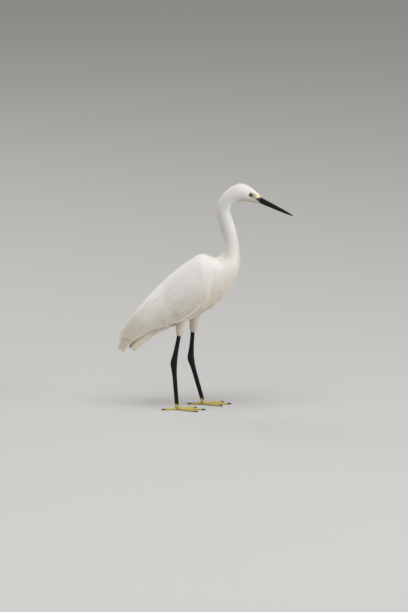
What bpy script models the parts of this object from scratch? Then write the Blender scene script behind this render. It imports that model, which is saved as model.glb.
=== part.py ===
"""A little egret standing still, at life size, in metres, facing +X with +Z up.

The feathered body is one surface laid over a row of named cross-sections, from the face to
the tips of the folded wings. Head, neck, torso and tail are lengths of that surface, and the
wings lie on it. Every piece is worked out from the named sizes below, which are millimetres.
"""

import math
from typing import NamedTuple

import bmesh
import bpy
import numpy as np
from mathutils import Matrix, Vector

MM = 0.001
GAP = 0.35  # left between pieces that meet
CUT_CLEARANCE = 0.45  # left round a piece where another is cut clear of it
RIGHT, LEFT = -1, 1  # the two sides, as the sign of Y
SHARP_EDGE = math.radians(40)  # an edge that bends more is not shaded smooth


class Section(NamedTuple):
    """A cross-section of the body: its ends on the back line and the belly line, and its half width."""

    dorsal: tuple
    ventral: tuple
    half_width: float


BODY = {
    "face": Section((121.0, 475.0), (117.0, 459.0), 6.6),
    "eyes": Section((98.0, 495.0), (95.5, 462.0), 12.2),
    "crown": Section((77.5, 503.0), (79.0, 463.5), 14.2),
    "nape": Section((42.0, 484.0), (59.5, 457.5), 13.4),
    "bend": Section((24.0, 450.0), (53.5, 442.0), 12.4),
    "neck_top": Section((26.5, 421.0), (58.5, 425.0), 12.6),
    "neck_middle": Section((36.5, 388.0), (69.0, 389.5), 13.6),
    "neck_low": Section((38.5, 361.0), (74.5, 357.0), 16.0),
    "neck_base": Section((34.0, 344.0), (76.5, 332.0), 21.0),
    "collar": Section((25.0, 337.0), (74.5, 312.0), 28.0),
    "shoulders": Section((-4.0, 342.5), (52.0, 266.0), 38.0),
    "breast": Section((-32.0, 328.0), (19.0, 231.0), 42.0),
    "belly": Section((-71.0, 299.0), (-17.5, 208.0), 41.0),
    "flank": Section((-106.0, 266.5), (-52.0, 189.5), 35.0),
    "rump": Section((-134.5, 234.0), (-84.0, 178.5), 26.0),
    "tail_root": Section((-159.0, 205.0), (-118.0, 160.5), 18.0),
    "tail_middle": Section((-177.0, 176.0), (-143.0, 139.0), 12.0),
    "wing_tips": Section((-190.0, 152.0), (-160.0, 125.0), 8.5),
    "beyond": Section((-199.0, 128.0), (-170.0, 104.0), 6.0),
}
NAMES = list(BODY)
DORSAL = np.array([section.dorsal for section in BODY.values()])
VENTRAL = np.array([section.ventral for section in BODY.values()])
WIDTHS = np.array([section.half_width for section in BODY.values()])
MIDDLES = (DORSAL + VENTRAL) / 2
KNOTS = np.concatenate([[0], np.cumsum(np.linalg.norm(np.diff(MIDDLES, axis=0), axis=1))])
AT = dict(zip(NAMES, KNOTS))  # distance of each section from the face, along the body


def through(values, along):
    """The smooth curve that takes these values at the sections, read at a distance along the body."""
    slopes = np.gradient(values, KNOTS, axis=0)
    first = int(np.clip(np.searchsorted(KNOTS, along, "right") - 1, 0, len(KNOTS) - 2))
    step = KNOTS[first + 1] - KNOTS[first]
    s = (along - KNOTS[first]) / step
    return (
        (1 + 2 * s) * (1 - s) ** 2 * values[first]
        + s * (1 - s) ** 2 * step * slopes[first]
        + s * s * (3 - 2 * s) * values[first + 1]
        + s * s * (s - 1) * step * slopes[first + 1]
    )


def on_body(along, around, height=0.0):
    """A point at that height over the body: so far along it, at that angle round it from the back."""
    dorsal, ventral = through(DORSAL, along), through(VENTRAL, along)
    width = through(WIDTHS, along)
    middle, depth = (dorsal + ventral) / 2, (dorsal - ventral) / 2
    reach = 1 + height / np.linalg.norm(depth)
    x, z = middle + depth * reach * math.cos(around)
    return Vector((x, (width + height) * math.sin(around), z)) * MM


def section_normal(along):
    """The direction, square to the body's cross-section there, that leads away from the face."""
    depth = through(DORSAL, along) - through(VENTRAL, along)
    return Vector((-depth[1], 0, depth[0])).normalized()


BILL_LENGTH = 82.0
BILL_PITCH = math.radians(25.5)  # below the horizontal
BILL_DEPTH = 13.0  # at the face
BILL_WIDTH = 10.6
BILL_UPPER_SHARE = 0.56  # of the depth, over the line of the mouth
BILL_DROP = 1.0  # from the middle of the face
BILL_TAPER = 0.54  # under 1, the bill keeps its depth longer and then comes to a point
BILL_TIP_SHARE = 0.012
NOSTRIL_FORWARD, NOSTRIL_UP, NOSTRIL_OUT = 15.0, 3.4, 4.0
NOSTRIL_HALF_SIZE = (3.6, 1.0, 0.6)

EYE_RADIUS = 5.2
EYE_CENTRE = (99.3, 8.2, 479.6)  # of the left eye
LID_RADIUS = 4.3
LID_THICKNESS = 0.9
LID_OUT = 3.4  # from the eye's centre
MOUTH_LINE_START, MOUTH_LINE_END = -1.0, 19.0  # behind the face
MOUTH_LINE_ANGLES = (95.0, 97.0)  # round the head, at the bill and at its end
MOUTH_LINE_RADIUS = 0.55

WING_LOW = {
    "collar": 60, "shoulders": 72, "breast": 111, "belly": 129, "flank": 132,
    "rump": 126, "tail_root": 109, "tail_middle": 91, "wing_tips": 86, "beyond": 84,
}
WING_FRONT_TOP = 2.0  # behind the shoulders, at the back line
WING_FRONT_LOW = 0.8  # of the way from the shoulders to the breast, at the lower edge
WING_FRONT_BULGE = 9.0
WING_FRONT_FADE = 6  # the greater, the sooner the bulge dies away behind the front
WING_END_TOP = 3.0  # behind the section of the wing tips, at the back line
WING_END_LOW = 24.0  # and at the lower edge
WING_HANG = 0.35  # how much a wing stands off where the body curves in under it
WING_CLEARANCE = 1.0  # from the body to the inner face
WING_CORE = {0: 1.6, 0.05: 3.8, 0.15: 3.5, 0.35: 2.7, 0.65: 2.2, 0.8: 2.0}  # height, along the wing
WING_CORE_REACH = 0.985  # across the wing
WING_CORE_CROWDING = 1.5  # over 1, the rows of points lie closer in front
WING_OVERLAP = 1.24  # a feather's width, to the distance from one to the next
WING_LAP = 1.05
WING_WIDTH_SPREAD, WING_TIP_SPREAD = 0.03, 0.008  # by which the feathers differ
WING_SEED, TAIL_SEED = 11, 5
WING_ROOM = 7.5  # over the body, for the wing and its feathers
WING_CUTTER_SPAN = (-0.03, 0.9)
WING_CUTTER_REACH = 1.045


class Tier(NamedTuple):
    """A row of like feathers: their places on the wing, of the first and the last, and heights."""

    count: int
    across: tuple
    root: tuple
    tip: tuple
    heights: tuple  # where the vane comes clear, and at its tip


WING_TIERS = {
    "primaries": Tier(5, (0.58, 0.98), (0.70, 0.68), (1.01, 0.97), (1.15, 1.3)),
    "secondaries": Tier(10, (0.065, 0.955), (0.38, 0.36), (0.99, 0.85), (3.1, 3.6)),
    "greater_coverts": Tier(7, (0.40, 0.96), (0.20, 0.18), (0.55, 0.50), (3.6, 4.7)),
    "median_coverts": Tier(6, (0.40, 0.955), (0.09, 0.08), (0.32, 0.28), (4.1, 4.9)),
    "scapulars": Tier(5, (0.07, 0.37), (0.07, 0.08), (0.64, 0.50), (4.5, 5.0)),
}

VANE_SHARES = (0.0, 0.38, 0.74, 0.93, 1.0)  # the stations of a feather, from root to tip
VANE_WIDTHS = (0.5, 0.95, 1.0, 0.8, 0.3)  # of its full width, at each
VANE_THICKNESS, VANE_TIP_THICKNESS = 0.5, 0.3
VANE_CAMBER = 0.2
ROOT_DEPTH = 0.95  # of a feather's root in the core it grows from

TAIL_ARCH = {  # rise of the ridge, as a share of the body's depth there, and half width
    "rump": (0.62, 20.0), "tail_root": (0.50, 14.5), "tail_middle": (0.45, 12.5), "wing_tips": (0.26, 11.5),
}
TAIL_BELLY = 0.15  # of the ridge's height, where the arch is widest
TAIL_CORE_INSET = 2.6
TAIL_ROOT, TAIL_CORE_BEYOND_ROOT = 16.0, 34.0  # behind the rump, and behind that
TAIL_FEATHER_WIDTH = 11.5
TAIL_PAIRS = 5  # beside the middle pair
TAIL_FIRST_ANGLE, TAIL_ANGLE_STEP = 28.0, 16.0
TAIL_MIDDLE_ANGLE = 3.0  # of each of the middle pair, to its own side
TAIL_LAP, TAIL_MIDDLE_LIFT = 3.4, 1.6
TAIL_TIP = -1.0  # before the section of the wing tips
TAIL_TIP_STEP, TAIL_TIP_SPREAD = 0.7, 1.5  # each pair is that much shorter, and they differ by this

HIP_SPREAD, FEATHER_LINE_SPREAD, HOCK_SPREAD, FOOT_SPREAD = 16.0, 20.0, 23.0, 26.0
FOOT_JOINT_HEIGHT = 8.0
THIGH_RADII = {0: 14.0, 0.25: 11.6, 0.5: 10.2, 0.75: 9.0, 0.92: 7.0, 1: 5.4}
THIGH_SIDE_SHARE = 0.66
SHANK_RADII = {0: 4.3, 0.3: 4.5, 0.6: 5.1, 0.8: 6.2, 0.92: 7.1}
TARSUS_RADII = {0: 7.5, 0.06: 7.0, 0.14: 5.9, 0.3: 4.9, 0.6: 4.6, 0.9: 4.4, 0.98: 4.5}
LEG_SIDE_SHARE = 0.68  # a leg is this much narrower from the front than from the side
ACROSS = Vector((0, 1, 0))


class Leg(NamedTuple):
    """Where one leg runs, seen from the side: x and z of its named points."""

    side: int
    thigh_top: tuple
    feather_line: tuple
    hock: tuple
    foot_x: float


LEGS = {
    "right": Leg(RIGHT, (-51.0, 212.0), (-58.5, 166.5), (-70.5, 103.5), -63.1),
    "left": Leg(LEFT, (-22.0, 216.0), (-28.5, 166.5), (-33.2, 106.0), -6.2),
}


class Toe(NamedTuple):
    """One toe: its direction from straight ahead, outwards, its length and its claw's length."""

    turn: float
    length: float
    claw: float
    radius: float


TOES = {
    "inner": Toe(-24.0, 40.0, 7.0, 2.6),
    "middle": Toe(3.0, 54.0, 9.0, 2.8),
    "outer": Toe(29.0, 45.0, 7.0, 2.6),
    "hind": Toe(172.0, 28.0, 10.0, 2.5),
}
TOE_HEIGHTS = {-0.06: 3.4, 0.12: 2.4, 0.34: 1.9, 0.38: 2.1, 0.62: 1.7, 0.66: 1.9, 0.9: 1.5, 1.0: 1.4}
TOE_SWELLS = (1.2, 1.15, 0.95, 1.12, 0.88, 1.05, 0.85, 0.8)  # of the toe's radius, at each height
CLAW_HEIGHTS = {0: 1.4, 0.35: 1.75, 0.7: 1.3, 1.0: 0.4}
CLAW_SHARES = (0.72, 0.6, 0.38, 0.1)  # of the toe's radius, at each height
ANKLE_RADII = (4.5, 4.7, 4.2)
SOLE_FROM_JOINT = Vector((1.5, 0, -3.5))
ANKLE_SIDE_SHARE, CLAW_SIDE_SHARE = 0.86, 0.7


def material(name, colour, roughness):
    """A plain surface finish."""
    made = bpy.data.materials.new(name)
    made.use_nodes = True
    shader = made.node_tree.nodes["Principled BSDF"]
    shader.inputs["Base Color"].default_value = (*colour, 1)
    shader.inputs["Roughness"].default_value = roughness
    shader.inputs["Metallic"].default_value = 0
    return made


def wrapped(columns, rows, place, split_alike=False):
    """A closed tube with flat ends: place(around, along) puts each point of a grid.

    Where it is as thin as a feather, its two faces are split into triangles alike.
    """
    bm = bmesh.new()
    bmesh.ops.create_grid(bm, x_segments=columns, y_segments=rows, size=0.5)
    if split_alike:
        upper = [face for face in bm.faces if face.calc_center_median().x < 0]
        bmesh.ops.triangulate(bm, faces=upper, quad_method="FIXED")
        lower = [face for face in bm.faces if len(face.verts) == 4]
        bmesh.ops.triangulate(bm, faces=lower, quad_method="ALTERNATE")
    for vert in bm.verts:
        vert.co = place(vert.co.x + 0.5, vert.co.y + 0.5)
    bmesh.ops.remove_doubles(bm, verts=bm.verts, dist=1e-3 * MM)
    bmesh.ops.holes_fill(bm, edges=bm.edges, sides=0)
    bmesh.ops.recalc_face_normals(bm, faces=bm.faces)
    return bm


def slab(columns, rows, place):
    """A thin closed piece: place(across, share, outer) puts the points of its two faces."""
    span = 2 * columns + 2

    def wrap(around, share):
        step = round(around * span) % span
        outer = step <= columns
        across = step / columns if outer else (span - 1 - step) / columns
        return place(across, share, outer)

    return wrapped(span, rows, wrap, split_alike=True)


def as_object(bm, name, finish=None):
    """The mesh as an object of the scene, smooth but for its sharp edges."""
    mesh = bpy.data.meshes.new(name)
    bm.to_mesh(mesh)
    bm.free()
    mesh.shade_smooth()
    mesh.set_sharp_from_angle(angle=SHARP_EDGE)
    made = bpy.data.objects.new(name, mesh)
    bpy.context.scene.collection.objects.link(made)
    if finish is not None:
        mesh.materials.append(finish)
    return made


def shells_of(bm):
    """The faces of each closed surface in the mesh, those that hold the least first."""
    left, shells = set(bm.faces), []
    while left:
        shell, reached = [], [left.pop()]
        while reached:
            face = reached.pop()
            shell.append(face)
            beside = {other for edge in face.edges for other in edge.link_faces} & left
            left -= beside
            reached.extend(beside)
        shells.append(shell)
    return sorted(
        shells,
        key=lambda shell: sum(f.calc_center_median().dot(f.normal) * f.calc_area() for f in shell),
    )


def combine(target, operation, others):
    """Joins the other objects to the target, or cuts them from it, and removes them."""
    collection = bpy.data.collections.new("pieces of " + target.name)
    bpy.context.scene.collection.children.link(collection)
    for other in others:
        collection.objects.link(other)
    boolean = target.modifiers.new(operation.lower(), "BOOLEAN")
    boolean.operation, boolean.solver = operation, "EXACT"
    boolean.operand_type, boolean.collection = "COLLECTION", collection
    result = bmesh.new()
    result.from_object(target, bpy.context.evaluated_depsgraph_get())
    target.modifiers.remove(boolean)
    result.normal_update()
    loose = [face for shell in shells_of(result)[:-1] for face in shell]
    bmesh.ops.delete(result, geom=loose, context="FACES")
    result.to_mesh(target.data)
    result.free()
    for other in others:
        bpy.data.objects.remove(other)
    bpy.data.collections.remove(collection)
    return target


def mirrored(point, side):
    """A point of the left side, or its image on the right side."""
    return Vector((point.x, point.y * side, point.z))


def body_length(start, end, columns, rows, height=0.0, lift=GAP):
    """A length of the body, its first cap set off by the gap from where it starts."""

    def place(around, share):
        along = start + (end - start) * share
        point = on_body(along, math.tau * around, height)
        return point + section_normal(start) * (lift * MM) if share == 0 else point

    return wrapped(columns, rows, place)


def torso_cutter():
    """The torso and a clear gap round it, to cut what grows out of it."""
    start, end = AT["neck_base"], AT["rump"] + GAP
    return as_object(body_length(start, end, 28, 20, height=CUT_CLEARANCE, lift=-1), "torso cutter")


def tube(centres, radii, across, sides=10, side_share=1.0, floor=None):
    """A closed tube through the centres. Along the vector across, it has that share of its radii."""
    centres = [Vector(centre) for centre in centres]
    last = len(centres) - 1

    def place(around, share):
        index = round(share * last)
        forward = (centres[min(index + 1, last)] - centres[max(index - 1, 0)]).normalized()
        sideways = (across - forward * across.dot(forward)).normalized()
        up = sideways.cross(forward)
        turn = math.tau * (around + 0.5 / sides)
        reach = sideways * math.cos(turn) * side_share + up * math.sin(turn)
        point = centres[index] + reach * radii[index]
        if floor is not None:
            point.z = max(point.z, floor)
        return point * MM

    return wrapped(sides, last, place)


def ball_at(centre, radius, name, finish=None, stretch=(1, 1, 1), pitch=0.0, fineness=2):
    """A ball, which may be stretched along its axes and pitched down in front."""
    bm = bmesh.new()
    turn = Matrix.Rotation(pitch, 4, "Y")
    shape = Matrix.Translation(Vector(centre) * MM) @ turn @ Matrix.Diagonal((*stretch, 1))
    bmesh.ops.create_icosphere(bm, subdivisions=fineness, radius=radius * MM, matrix=shape)
    return as_object(bm, name, finish)


def mouth_line(side):
    """The cutter for the line that the mouth draws from the bill back under the eye."""

    def place(around, share):
        turn = math.tau * around
        along = MOUTH_LINE_START + (MOUTH_LINE_END - MOUTH_LINE_START) * share
        half_width = through(WIDTHS, along)
        start, end = MOUTH_LINE_ANGLES
        middle = math.radians(start + (end - start) * share)
        spread = MOUTH_LINE_RADIUS * (1 - 0.5 * share)
        angle = middle + spread * math.sin(turn) / half_width
        return mirrored(on_body(along, angle, spread * math.cos(turn)), side)

    return as_object(wrapped(6, 5, place), "mouth line")


def build_head(finish):
    """The head, with its eye sockets, lids and the line of the mouth."""
    head = as_object(body_length(0, AT["nape"], 24, 12, lift=0), "head", finish)
    lids, hollows = [], []
    for side in (RIGHT, LEFT):
        centre = mirrored(Vector(EYE_CENTRE), side)
        lid_centre = centre + Vector((0, side * LID_OUT, 0))
        bpy.ops.mesh.primitive_torus_add(
            location=lid_centre * MM,
            rotation=(math.pi / 2, 0, 0),
            major_radius=LID_RADIUS * MM,
            minor_radius=LID_THICKNESS * MM,
            major_segments=16,
            minor_segments=6,
        )
        lids.append(bpy.context.object)
        hollows.append(ball_at(centre, EYE_RADIUS + GAP, "socket"))
        hollows.append(mouth_line(side))
    combine(head, "UNION", lids)
    return combine(head, "DIFFERENCE", hollows)


def build_eyes(finish):
    """Both eyeballs."""
    for name, side in (("eye_right", RIGHT), ("eye_left", LEFT)):
        ball_at(mirrored(Vector(EYE_CENTRE), side), EYE_RADIUS, name, finish)


def build_bill(finish):
    """The two halves of the bill, closed on the line of the mouth, with nostrils in the upper."""
    face = (through(DORSAL, 0) + through(VENTRAL, 0)) / 2
    forward = Vector((math.cos(BILL_PITCH), 0, -math.sin(BILL_PITCH)))
    up = Vector((math.sin(BILL_PITCH), 0, math.cos(BILL_PITCH)))
    face = Vector((face[0], 0, face[1]))
    mouth = face + up * (BILL_DEPTH * (0.5 - BILL_UPPER_SHARE) - BILL_DROP)
    away = -section_normal(0)
    halves = {}
    for name, over, share in (
        ("bill_upper", 1, BILL_UPPER_SHARE),
        ("bill_lower", -1, 1 - BILL_UPPER_SHARE),
    ):

        def place(around, along):
            taper = max(1 - along, BILL_TIP_SHARE) ** BILL_TAPER
            turn = math.tau * around
            rise = max(math.sin(turn), 0) * BILL_DEPTH * share * taper
            reach = math.cos(turn) * BILL_WIDTH / 2 * taper
            out = mouth + up * over * (GAP / 2 + rise) + Vector((0, reach, 0))
            to_face = (GAP - (out - face).dot(away)) / forward.dot(away)
            return (out + forward * (BILL_LENGTH * along + to_face * (1 - along) ** 2)) * MM

        halves[name] = as_object(wrapped(16, 9, place), name, finish)
    nostril = mouth + forward * NOSTRIL_FORWARD + up * NOSTRIL_UP
    slits = [
        ball_at(
            nostril + Vector((0, side * NOSTRIL_OUT, 0)), 1.0, "nostril",
            stretch=NOSTRIL_HALF_SIZE, pitch=BILL_PITCH, fineness=1,
        )
        for side in (RIGHT, LEFT)
    ]
    combine(halves["bill_upper"], "DIFFERENCE", slits)


def feather(lie, width, lap):
    """A flat, tapering vane, its outer edge higher by the lap than its inner one.

    lie(share, reach, height) gives the point at a share of the way to the tip, that far to the
    side of the shaft and that high over where the shaft lies.
    """
    last = len(VANE_SHARES) - 1

    def place(across, share, outer):
        station, out = round(share * last), 2 * across - 1
        along, part = VANE_SHARES[station], VANE_WIDTHS[station]
        free = min(1.0, along / VANE_SHARES[1])
        rise = free * (VANE_CAMBER * (1 - abs(out)) + lap / 2 * out * part)
        thickness = VANE_THICKNESS if station < last else VANE_TIP_THICKNESS
        return lie(along, out * width / 2 * part, rise + outer * thickness)

    return as_object(slab(2, last, place), "feather")


def wing_low(along):
    """The angle round the body at which the folded wing's lower edge lies."""
    return math.radians(np.interp(along, [AT[name] for name in WING_LOW], list(WING_LOW.values())))


def on_wing(along, across, height):
    """A point of the folded left wing: along from its bend to its tip, across from the back line down."""
    shoulders, breast, tips = AT["shoulders"], AT["breast"], AT["wing_tips"]
    top_start, low_start = shoulders + WING_FRONT_TOP, shoulders + WING_FRONT_LOW * (breast - shoulders)
    top = top_start + along * (tips + WING_END_TOP - top_start)
    low = low_start + along * (tips + WING_END_LOW - low_start)
    bulge = WING_FRONT_BULGE * (1 - along) ** WING_FRONT_FADE * math.sin(math.pi * min(max(across, 0), 1))
    distance = top + (low - top) * across - bulge
    width = through(WIDTHS, distance)
    start = math.asin(GAP / (width + height))
    around = start + (wing_low(low) - start) * across
    hang = WING_HANG * width * (1 - math.sin(around)) * max(0.0, around - math.pi / 2)
    return on_body(distance, around, height + hang * min(1.0, height / 2.0))


def wing_core_height(along):
    """How high the outer face of the wing's core lies over the body."""
    return float(np.interp(along, list(WING_CORE), list(WING_CORE.values())))


def wing_core(side):
    """The wing under its feathers: thick in front, a thin blade behind."""

    def place(across, share, outer):
        along = share**WING_CORE_CROWDING * max(WING_CORE)
        height = wing_core_height(along) if outer else WING_CLEARANCE
        return mirrored(on_wing(along, across * WING_CORE_REACH, height), side)

    return slab(9, 10, place)


def wing_feather(side, across, width, root, tip, heights):
    """One feather of a folded wing, its root sunk in the core. Its width is a share of the wing's."""
    rises = (wing_core_height(root) - ROOT_DEPTH, *heights)

    def lie(share, reach, height):
        along = root + (tip - root) * share
        rise = float(np.interp(share, (0, VANE_SHARES[1], 1), rises))
        return mirrored(on_wing(along, across + reach, rise + height), side)

    return feather(lie, width, WING_LAP)


def build_wing(name, side, finish):
    """A folded wing: its core, and its feathers in tiers from the primaries up to the scapulars."""
    random = np.random.default_rng(WING_SEED)
    wing = as_object(wing_core(side), name, finish)
    feathers = []
    for tier in WING_TIERS.values():
        spacing = (tier.across[1] - tier.across[0]) / (tier.count - 1)
        for index in range(tier.count):
            share = index / (tier.count - 1)
            across, root, tip = (
                first + (last - first) * share for first, last in (tier.across, tier.root, tier.tip)
            )
            tip += random.uniform(-WING_TIP_SPREAD, WING_TIP_SPREAD)
            width = spacing * WING_OVERLAP * (1 + random.uniform(-WING_WIDTH_SPREAD, WING_WIDTH_SPREAD))
            feathers.append(wing_feather(side, across, width, root, tip, tier.heights))
    return combine(wing, "UNION", feathers)


def wing_cutter(side):
    """The room that a folded wing takes up, and a clear gap round it."""
    first, last = WING_CUTTER_SPAN

    def place(across, share, outer):
        height = WING_ROOM if outer else -WING_ROOM
        along = first + share * (last - first)
        return mirrored(on_wing(along, across * WING_CUTTER_REACH, height), side)

    return as_object(slab(12, 16, place), "wing cutter")


def on_tail(along, around, height):
    """A point at that height over the tail's arch, at an angle from its ridge."""
    dorsal, ventral = through(DORSAL, along), through(VENTRAL, along)
    places = [AT[name] for name in TAIL_ARCH]
    rise = np.interp(along, places, [arch[0] for arch in TAIL_ARCH.values()])
    half_width = np.interp(along, places, [arch[1] for arch in TAIL_ARCH.values()])
    ridge = ventral + (dorsal - ventral) * rise
    middle = ventral + (ridge - ventral) * TAIL_BELLY
    depth = (ridge - middle) if math.cos(around) > 0 else (middle - ventral)
    x, z = middle + depth * math.cos(around) * (1 + height / np.linalg.norm(depth))
    return Vector((x, (half_width + height) * math.sin(around), z)) * MM


def tail_feather(around, root, tip, lift, lap):
    """One tail feather, its root sunk in the tail's core."""

    def lie(share, reach, height):
        along = root + (tip - root) * share
        rise = float(np.interp(share, (0, VANE_SHARES[1], 1), (-ROOT_DEPTH - TAIL_CORE_INSET, lift, lift)))
        step = math.radians(2)
        a_bit = on_tail(along, around + step, rise) - on_tail(along, around - step, rise)
        out = around + math.copysign(1, around) * reach * MM / (a_bit.length / (2 * step))
        return on_tail(along, out, rise + height)

    return feather(lie, TAIL_FEATHER_WIDTH, lap)


def build_tail(finish):
    """The closed tail: its core, and its feathers laid over one another from the middle pair out."""
    start, root = AT["rump"], AT["rump"] + TAIL_ROOT
    end = root + TAIL_CORE_BEYOND_ROOT

    def place(around, share):
        along = start + (end - start) * share
        point = on_tail(along, math.tau * around, -TAIL_CORE_INSET * share)
        return point + section_normal(start) * (GAP * MM) if share == 0 else point

    tail = as_object(wrapped(16, 5, place), "tail", finish)
    random = np.random.default_rng(TAIL_SEED)
    tip = AT["wing_tips"] - TAIL_TIP
    feathers = [
        tail_feather(math.radians(side * TAIL_MIDDLE_ANGLE), root, tip, TAIL_MIDDLE_LIFT + extra, 0.0)
        for side, extra in ((RIGHT, 0.0), (LEFT, VANE_THICKNESS + GAP))
    ]
    for side in (RIGHT, LEFT):
        for index in range(TAIL_PAIRS):
            angle = math.radians(side * (TAIL_FIRST_ANGLE + TAIL_ANGLE_STEP * index))
            reach = tip - TAIL_TIP_STEP * index + random.uniform(-TAIL_TIP_SPREAD, TAIL_TIP_SPREAD)
            feathers.append(tail_feather(angle, root, reach, 0.0, TAIL_LAP))
    return combine(tail, "UNION", feathers)


def leg_points(leg):
    """The named points of a leg in space: hip, end of the feathers, hock and foot joint."""
    return (
        Vector((leg.thigh_top[0], leg.side * HIP_SPREAD, leg.thigh_top[1])),
        Vector((leg.feather_line[0], leg.side * FEATHER_LINE_SPREAD, leg.feather_line[1])),
        Vector((leg.hock[0], leg.side * HOCK_SPREAD, leg.hock[1])),
        Vector((leg.foot_x, leg.side * FOOT_SPREAD, FOOT_JOINT_HEIGHT)),
    )


def build_thigh(name, side, hip, line, finish):
    """The feathered thigh, cut clear of the torso and of the wing that lies over it."""
    thigh = tube(
        [hip.lerp(line, step) for step in THIGH_RADII],
        list(THIGH_RADII.values()),
        ACROSS, sides=14, side_share=THIGH_SIDE_SHARE,
    )
    thigh = as_object(thigh, "thigh_" + name, finish)
    return combine(thigh, "DIFFERENCE", [torso_cutter(), wing_cutter(side)])


def build_leg(name, leg, finishes):
    """Thigh, shank, tarsus, foot and claws of one leg."""
    hip, line, hock, joint = leg_points(leg)
    build_thigh(name, leg.side, hip, line, finishes["plumage"])

    lower = line + (hock - line).normalized() * GAP
    shank = tube(
        [lower.lerp(hock, step) for step in SHANK_RADII],
        list(SHANK_RADII.values()),
        ACROSS, sides=12, side_share=LEG_SIDE_SHARE,
    )
    as_object(shank, "shank_" + name, finishes["leg"])

    start = lower.lerp(hock, max(SHANK_RADII)) + (hock - line).normalized() * GAP
    tarsus = tube(
        [start] + [hock.lerp(joint, step) for step in TARSUS_RADII],
        [list(SHANK_RADII.values())[-1]] + list(TARSUS_RADII.values()),
        ACROSS, sides=12, side_share=LEG_SIDE_SHARE,
    )
    as_object(tarsus, "tarsus_" + name, finishes["leg"])
    build_foot(name, leg.side, hock, joint, finishes)


def build_foot(name, side, hock, joint, finishes):
    """One foot: four toes that lie flat on the floor, and their claws."""
    top = hock.lerp(joint, max(TARSUS_RADII)) + (joint - hock).normalized() * GAP
    sole = joint + SOLE_FROM_JOINT
    ankle = tube([top, joint, sole], ANKLE_RADII, ACROSS, sides=10, side_share=ANKLE_SIDE_SHARE)
    foot = as_object(ankle, "foot_" + name, finishes["foot"])
    toes = []
    for toe_name, toe in TOES.items():
        turn = math.radians(toe.turn) * side
        ahead = Vector((math.cos(turn), math.sin(turn), 0))
        across = Vector((-ahead.y, ahead.x, 0))
        base = Vector((sole.x, joint.y, 0))
        centres = [
            base + ahead * toe.length * step + Vector((0, 0, height))
            for step, height in TOE_HEIGHTS.items()
        ]
        radii = [toe.radius * swell for swell in TOE_SWELLS]
        toes.append(as_object(tube(centres, radii, across, sides=8, floor=0.0), "toe"))
        tip = base + ahead * (toe.length + GAP)
        centres = [
            tip + ahead * toe.claw * step + Vector((0, 0, height))
            for step, height in CLAW_HEIGHTS.items()
        ]
        radii = [toe.radius * share for share in CLAW_SHARES]
        claw = tube(centres, radii, across, sides=8, side_share=CLAW_SIDE_SHARE, floor=0.0)
        as_object(claw, f"claw_{name}_{toe_name}", finishes["claw"])
    return combine(foot, "UNION", toes)


def main():
    """Clears the scene and builds every piece."""
    for old in list(bpy.data.objects):
        bpy.data.objects.remove(old)
    finishes = {
        "plumage": material("white plumage", (0.86, 0.84, 0.79), 0.8),
        "bill": material("black horn", (0.012, 0.012, 0.013), 0.35),
        "eye": material("pale eye", (0.75, 0.66, 0.3), 0.1),
        "leg": material("black leg skin", (0.012, 0.012, 0.012), 0.45),
        "foot": material("yellow foot skin", (0.55, 0.42, 0.05), 0.5),
        "claw": material("black claw", (0.02, 0.018, 0.015), 0.4),
    }
    build_head(finishes["plumage"])
    build_eyes(finishes["eye"])
    build_bill(finishes["bill"])
    for name, start, end in (
        ("neck_upper", "nape", "neck_top"),
        ("neck_middle", "neck_top", "neck_low"),
        ("neck_lower", "neck_low", "collar"),
    ):
        as_object(body_length(AT[start], AT[end], 18, 6), name, finishes["plumage"])
    torso = body_length(AT["collar"], AT["rump"], 28, 18)
    as_object(torso, "torso", finishes["plumage"])
    build_wing("wing_right", RIGHT, finishes["plumage"])
    build_wing("wing_left", LEFT, finishes["plumage"])
    build_tail(finishes["plumage"])
    for name, leg in LEGS.items():
        build_leg(name, leg, finishes)


if __name__ == "__main__":
    main()
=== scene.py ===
"""The looks of a little egret that stands still, at life size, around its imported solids.

The bird faces +X with +Z up, and stands on the floor. Sizes are millimetres, and become metres
where a mesh is made. The feathered body is one surface laid over a row of named cross-sections: the
skin and every feather of head, neck and trunk are placed on it by a distance along the body and an
angle round it. The folded wings, the tail and the thighs are surfaces of the same kind.
"""

import logging
import math
from collections.abc import Callable
from dataclasses import astuple, dataclass, replace
from enum import Enum
from functools import partial

import bmesh
import bpy
import numpy as np
from mathutils import Matrix, Vector


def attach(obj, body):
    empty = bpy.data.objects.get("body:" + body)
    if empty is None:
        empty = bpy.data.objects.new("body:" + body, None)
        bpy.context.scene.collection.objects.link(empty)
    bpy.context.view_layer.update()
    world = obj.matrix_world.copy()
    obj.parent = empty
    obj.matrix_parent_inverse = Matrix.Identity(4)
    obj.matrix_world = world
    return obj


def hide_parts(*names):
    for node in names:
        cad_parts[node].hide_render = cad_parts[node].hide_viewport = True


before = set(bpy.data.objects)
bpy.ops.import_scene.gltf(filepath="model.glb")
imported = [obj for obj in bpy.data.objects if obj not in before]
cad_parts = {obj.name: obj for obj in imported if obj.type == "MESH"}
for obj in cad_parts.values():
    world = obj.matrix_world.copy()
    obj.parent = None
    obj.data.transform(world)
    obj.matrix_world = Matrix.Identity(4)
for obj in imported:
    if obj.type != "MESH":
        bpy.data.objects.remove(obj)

# A Place gives a surface's points at its two coordinates and a height; a Roll takes two shares.
Array = np.ndarray
Place = Callable[[Array, Array, Array], Array]
Roll = Callable[[Array, Array], Array]
Material = bpy.types.Material
Object = bpy.types.Object
Pair = tuple[float, float]
Triple = tuple[float, float, float]
Row = tuple[float, ...]

LOG = logging.getLogger("egret")
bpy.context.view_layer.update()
MM = 0.001
GAP = 0.35
SEED = 20
WELD = 0.001


class Side(Enum):
    """The two sides of the bird, with the sign of Y on each."""

    RIGHT = -1
    LEFT = 1

    @property
    def word(self) -> str:
        """The side's name in a piece's name."""
        return self.name.lower()


# Shader maths


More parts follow.
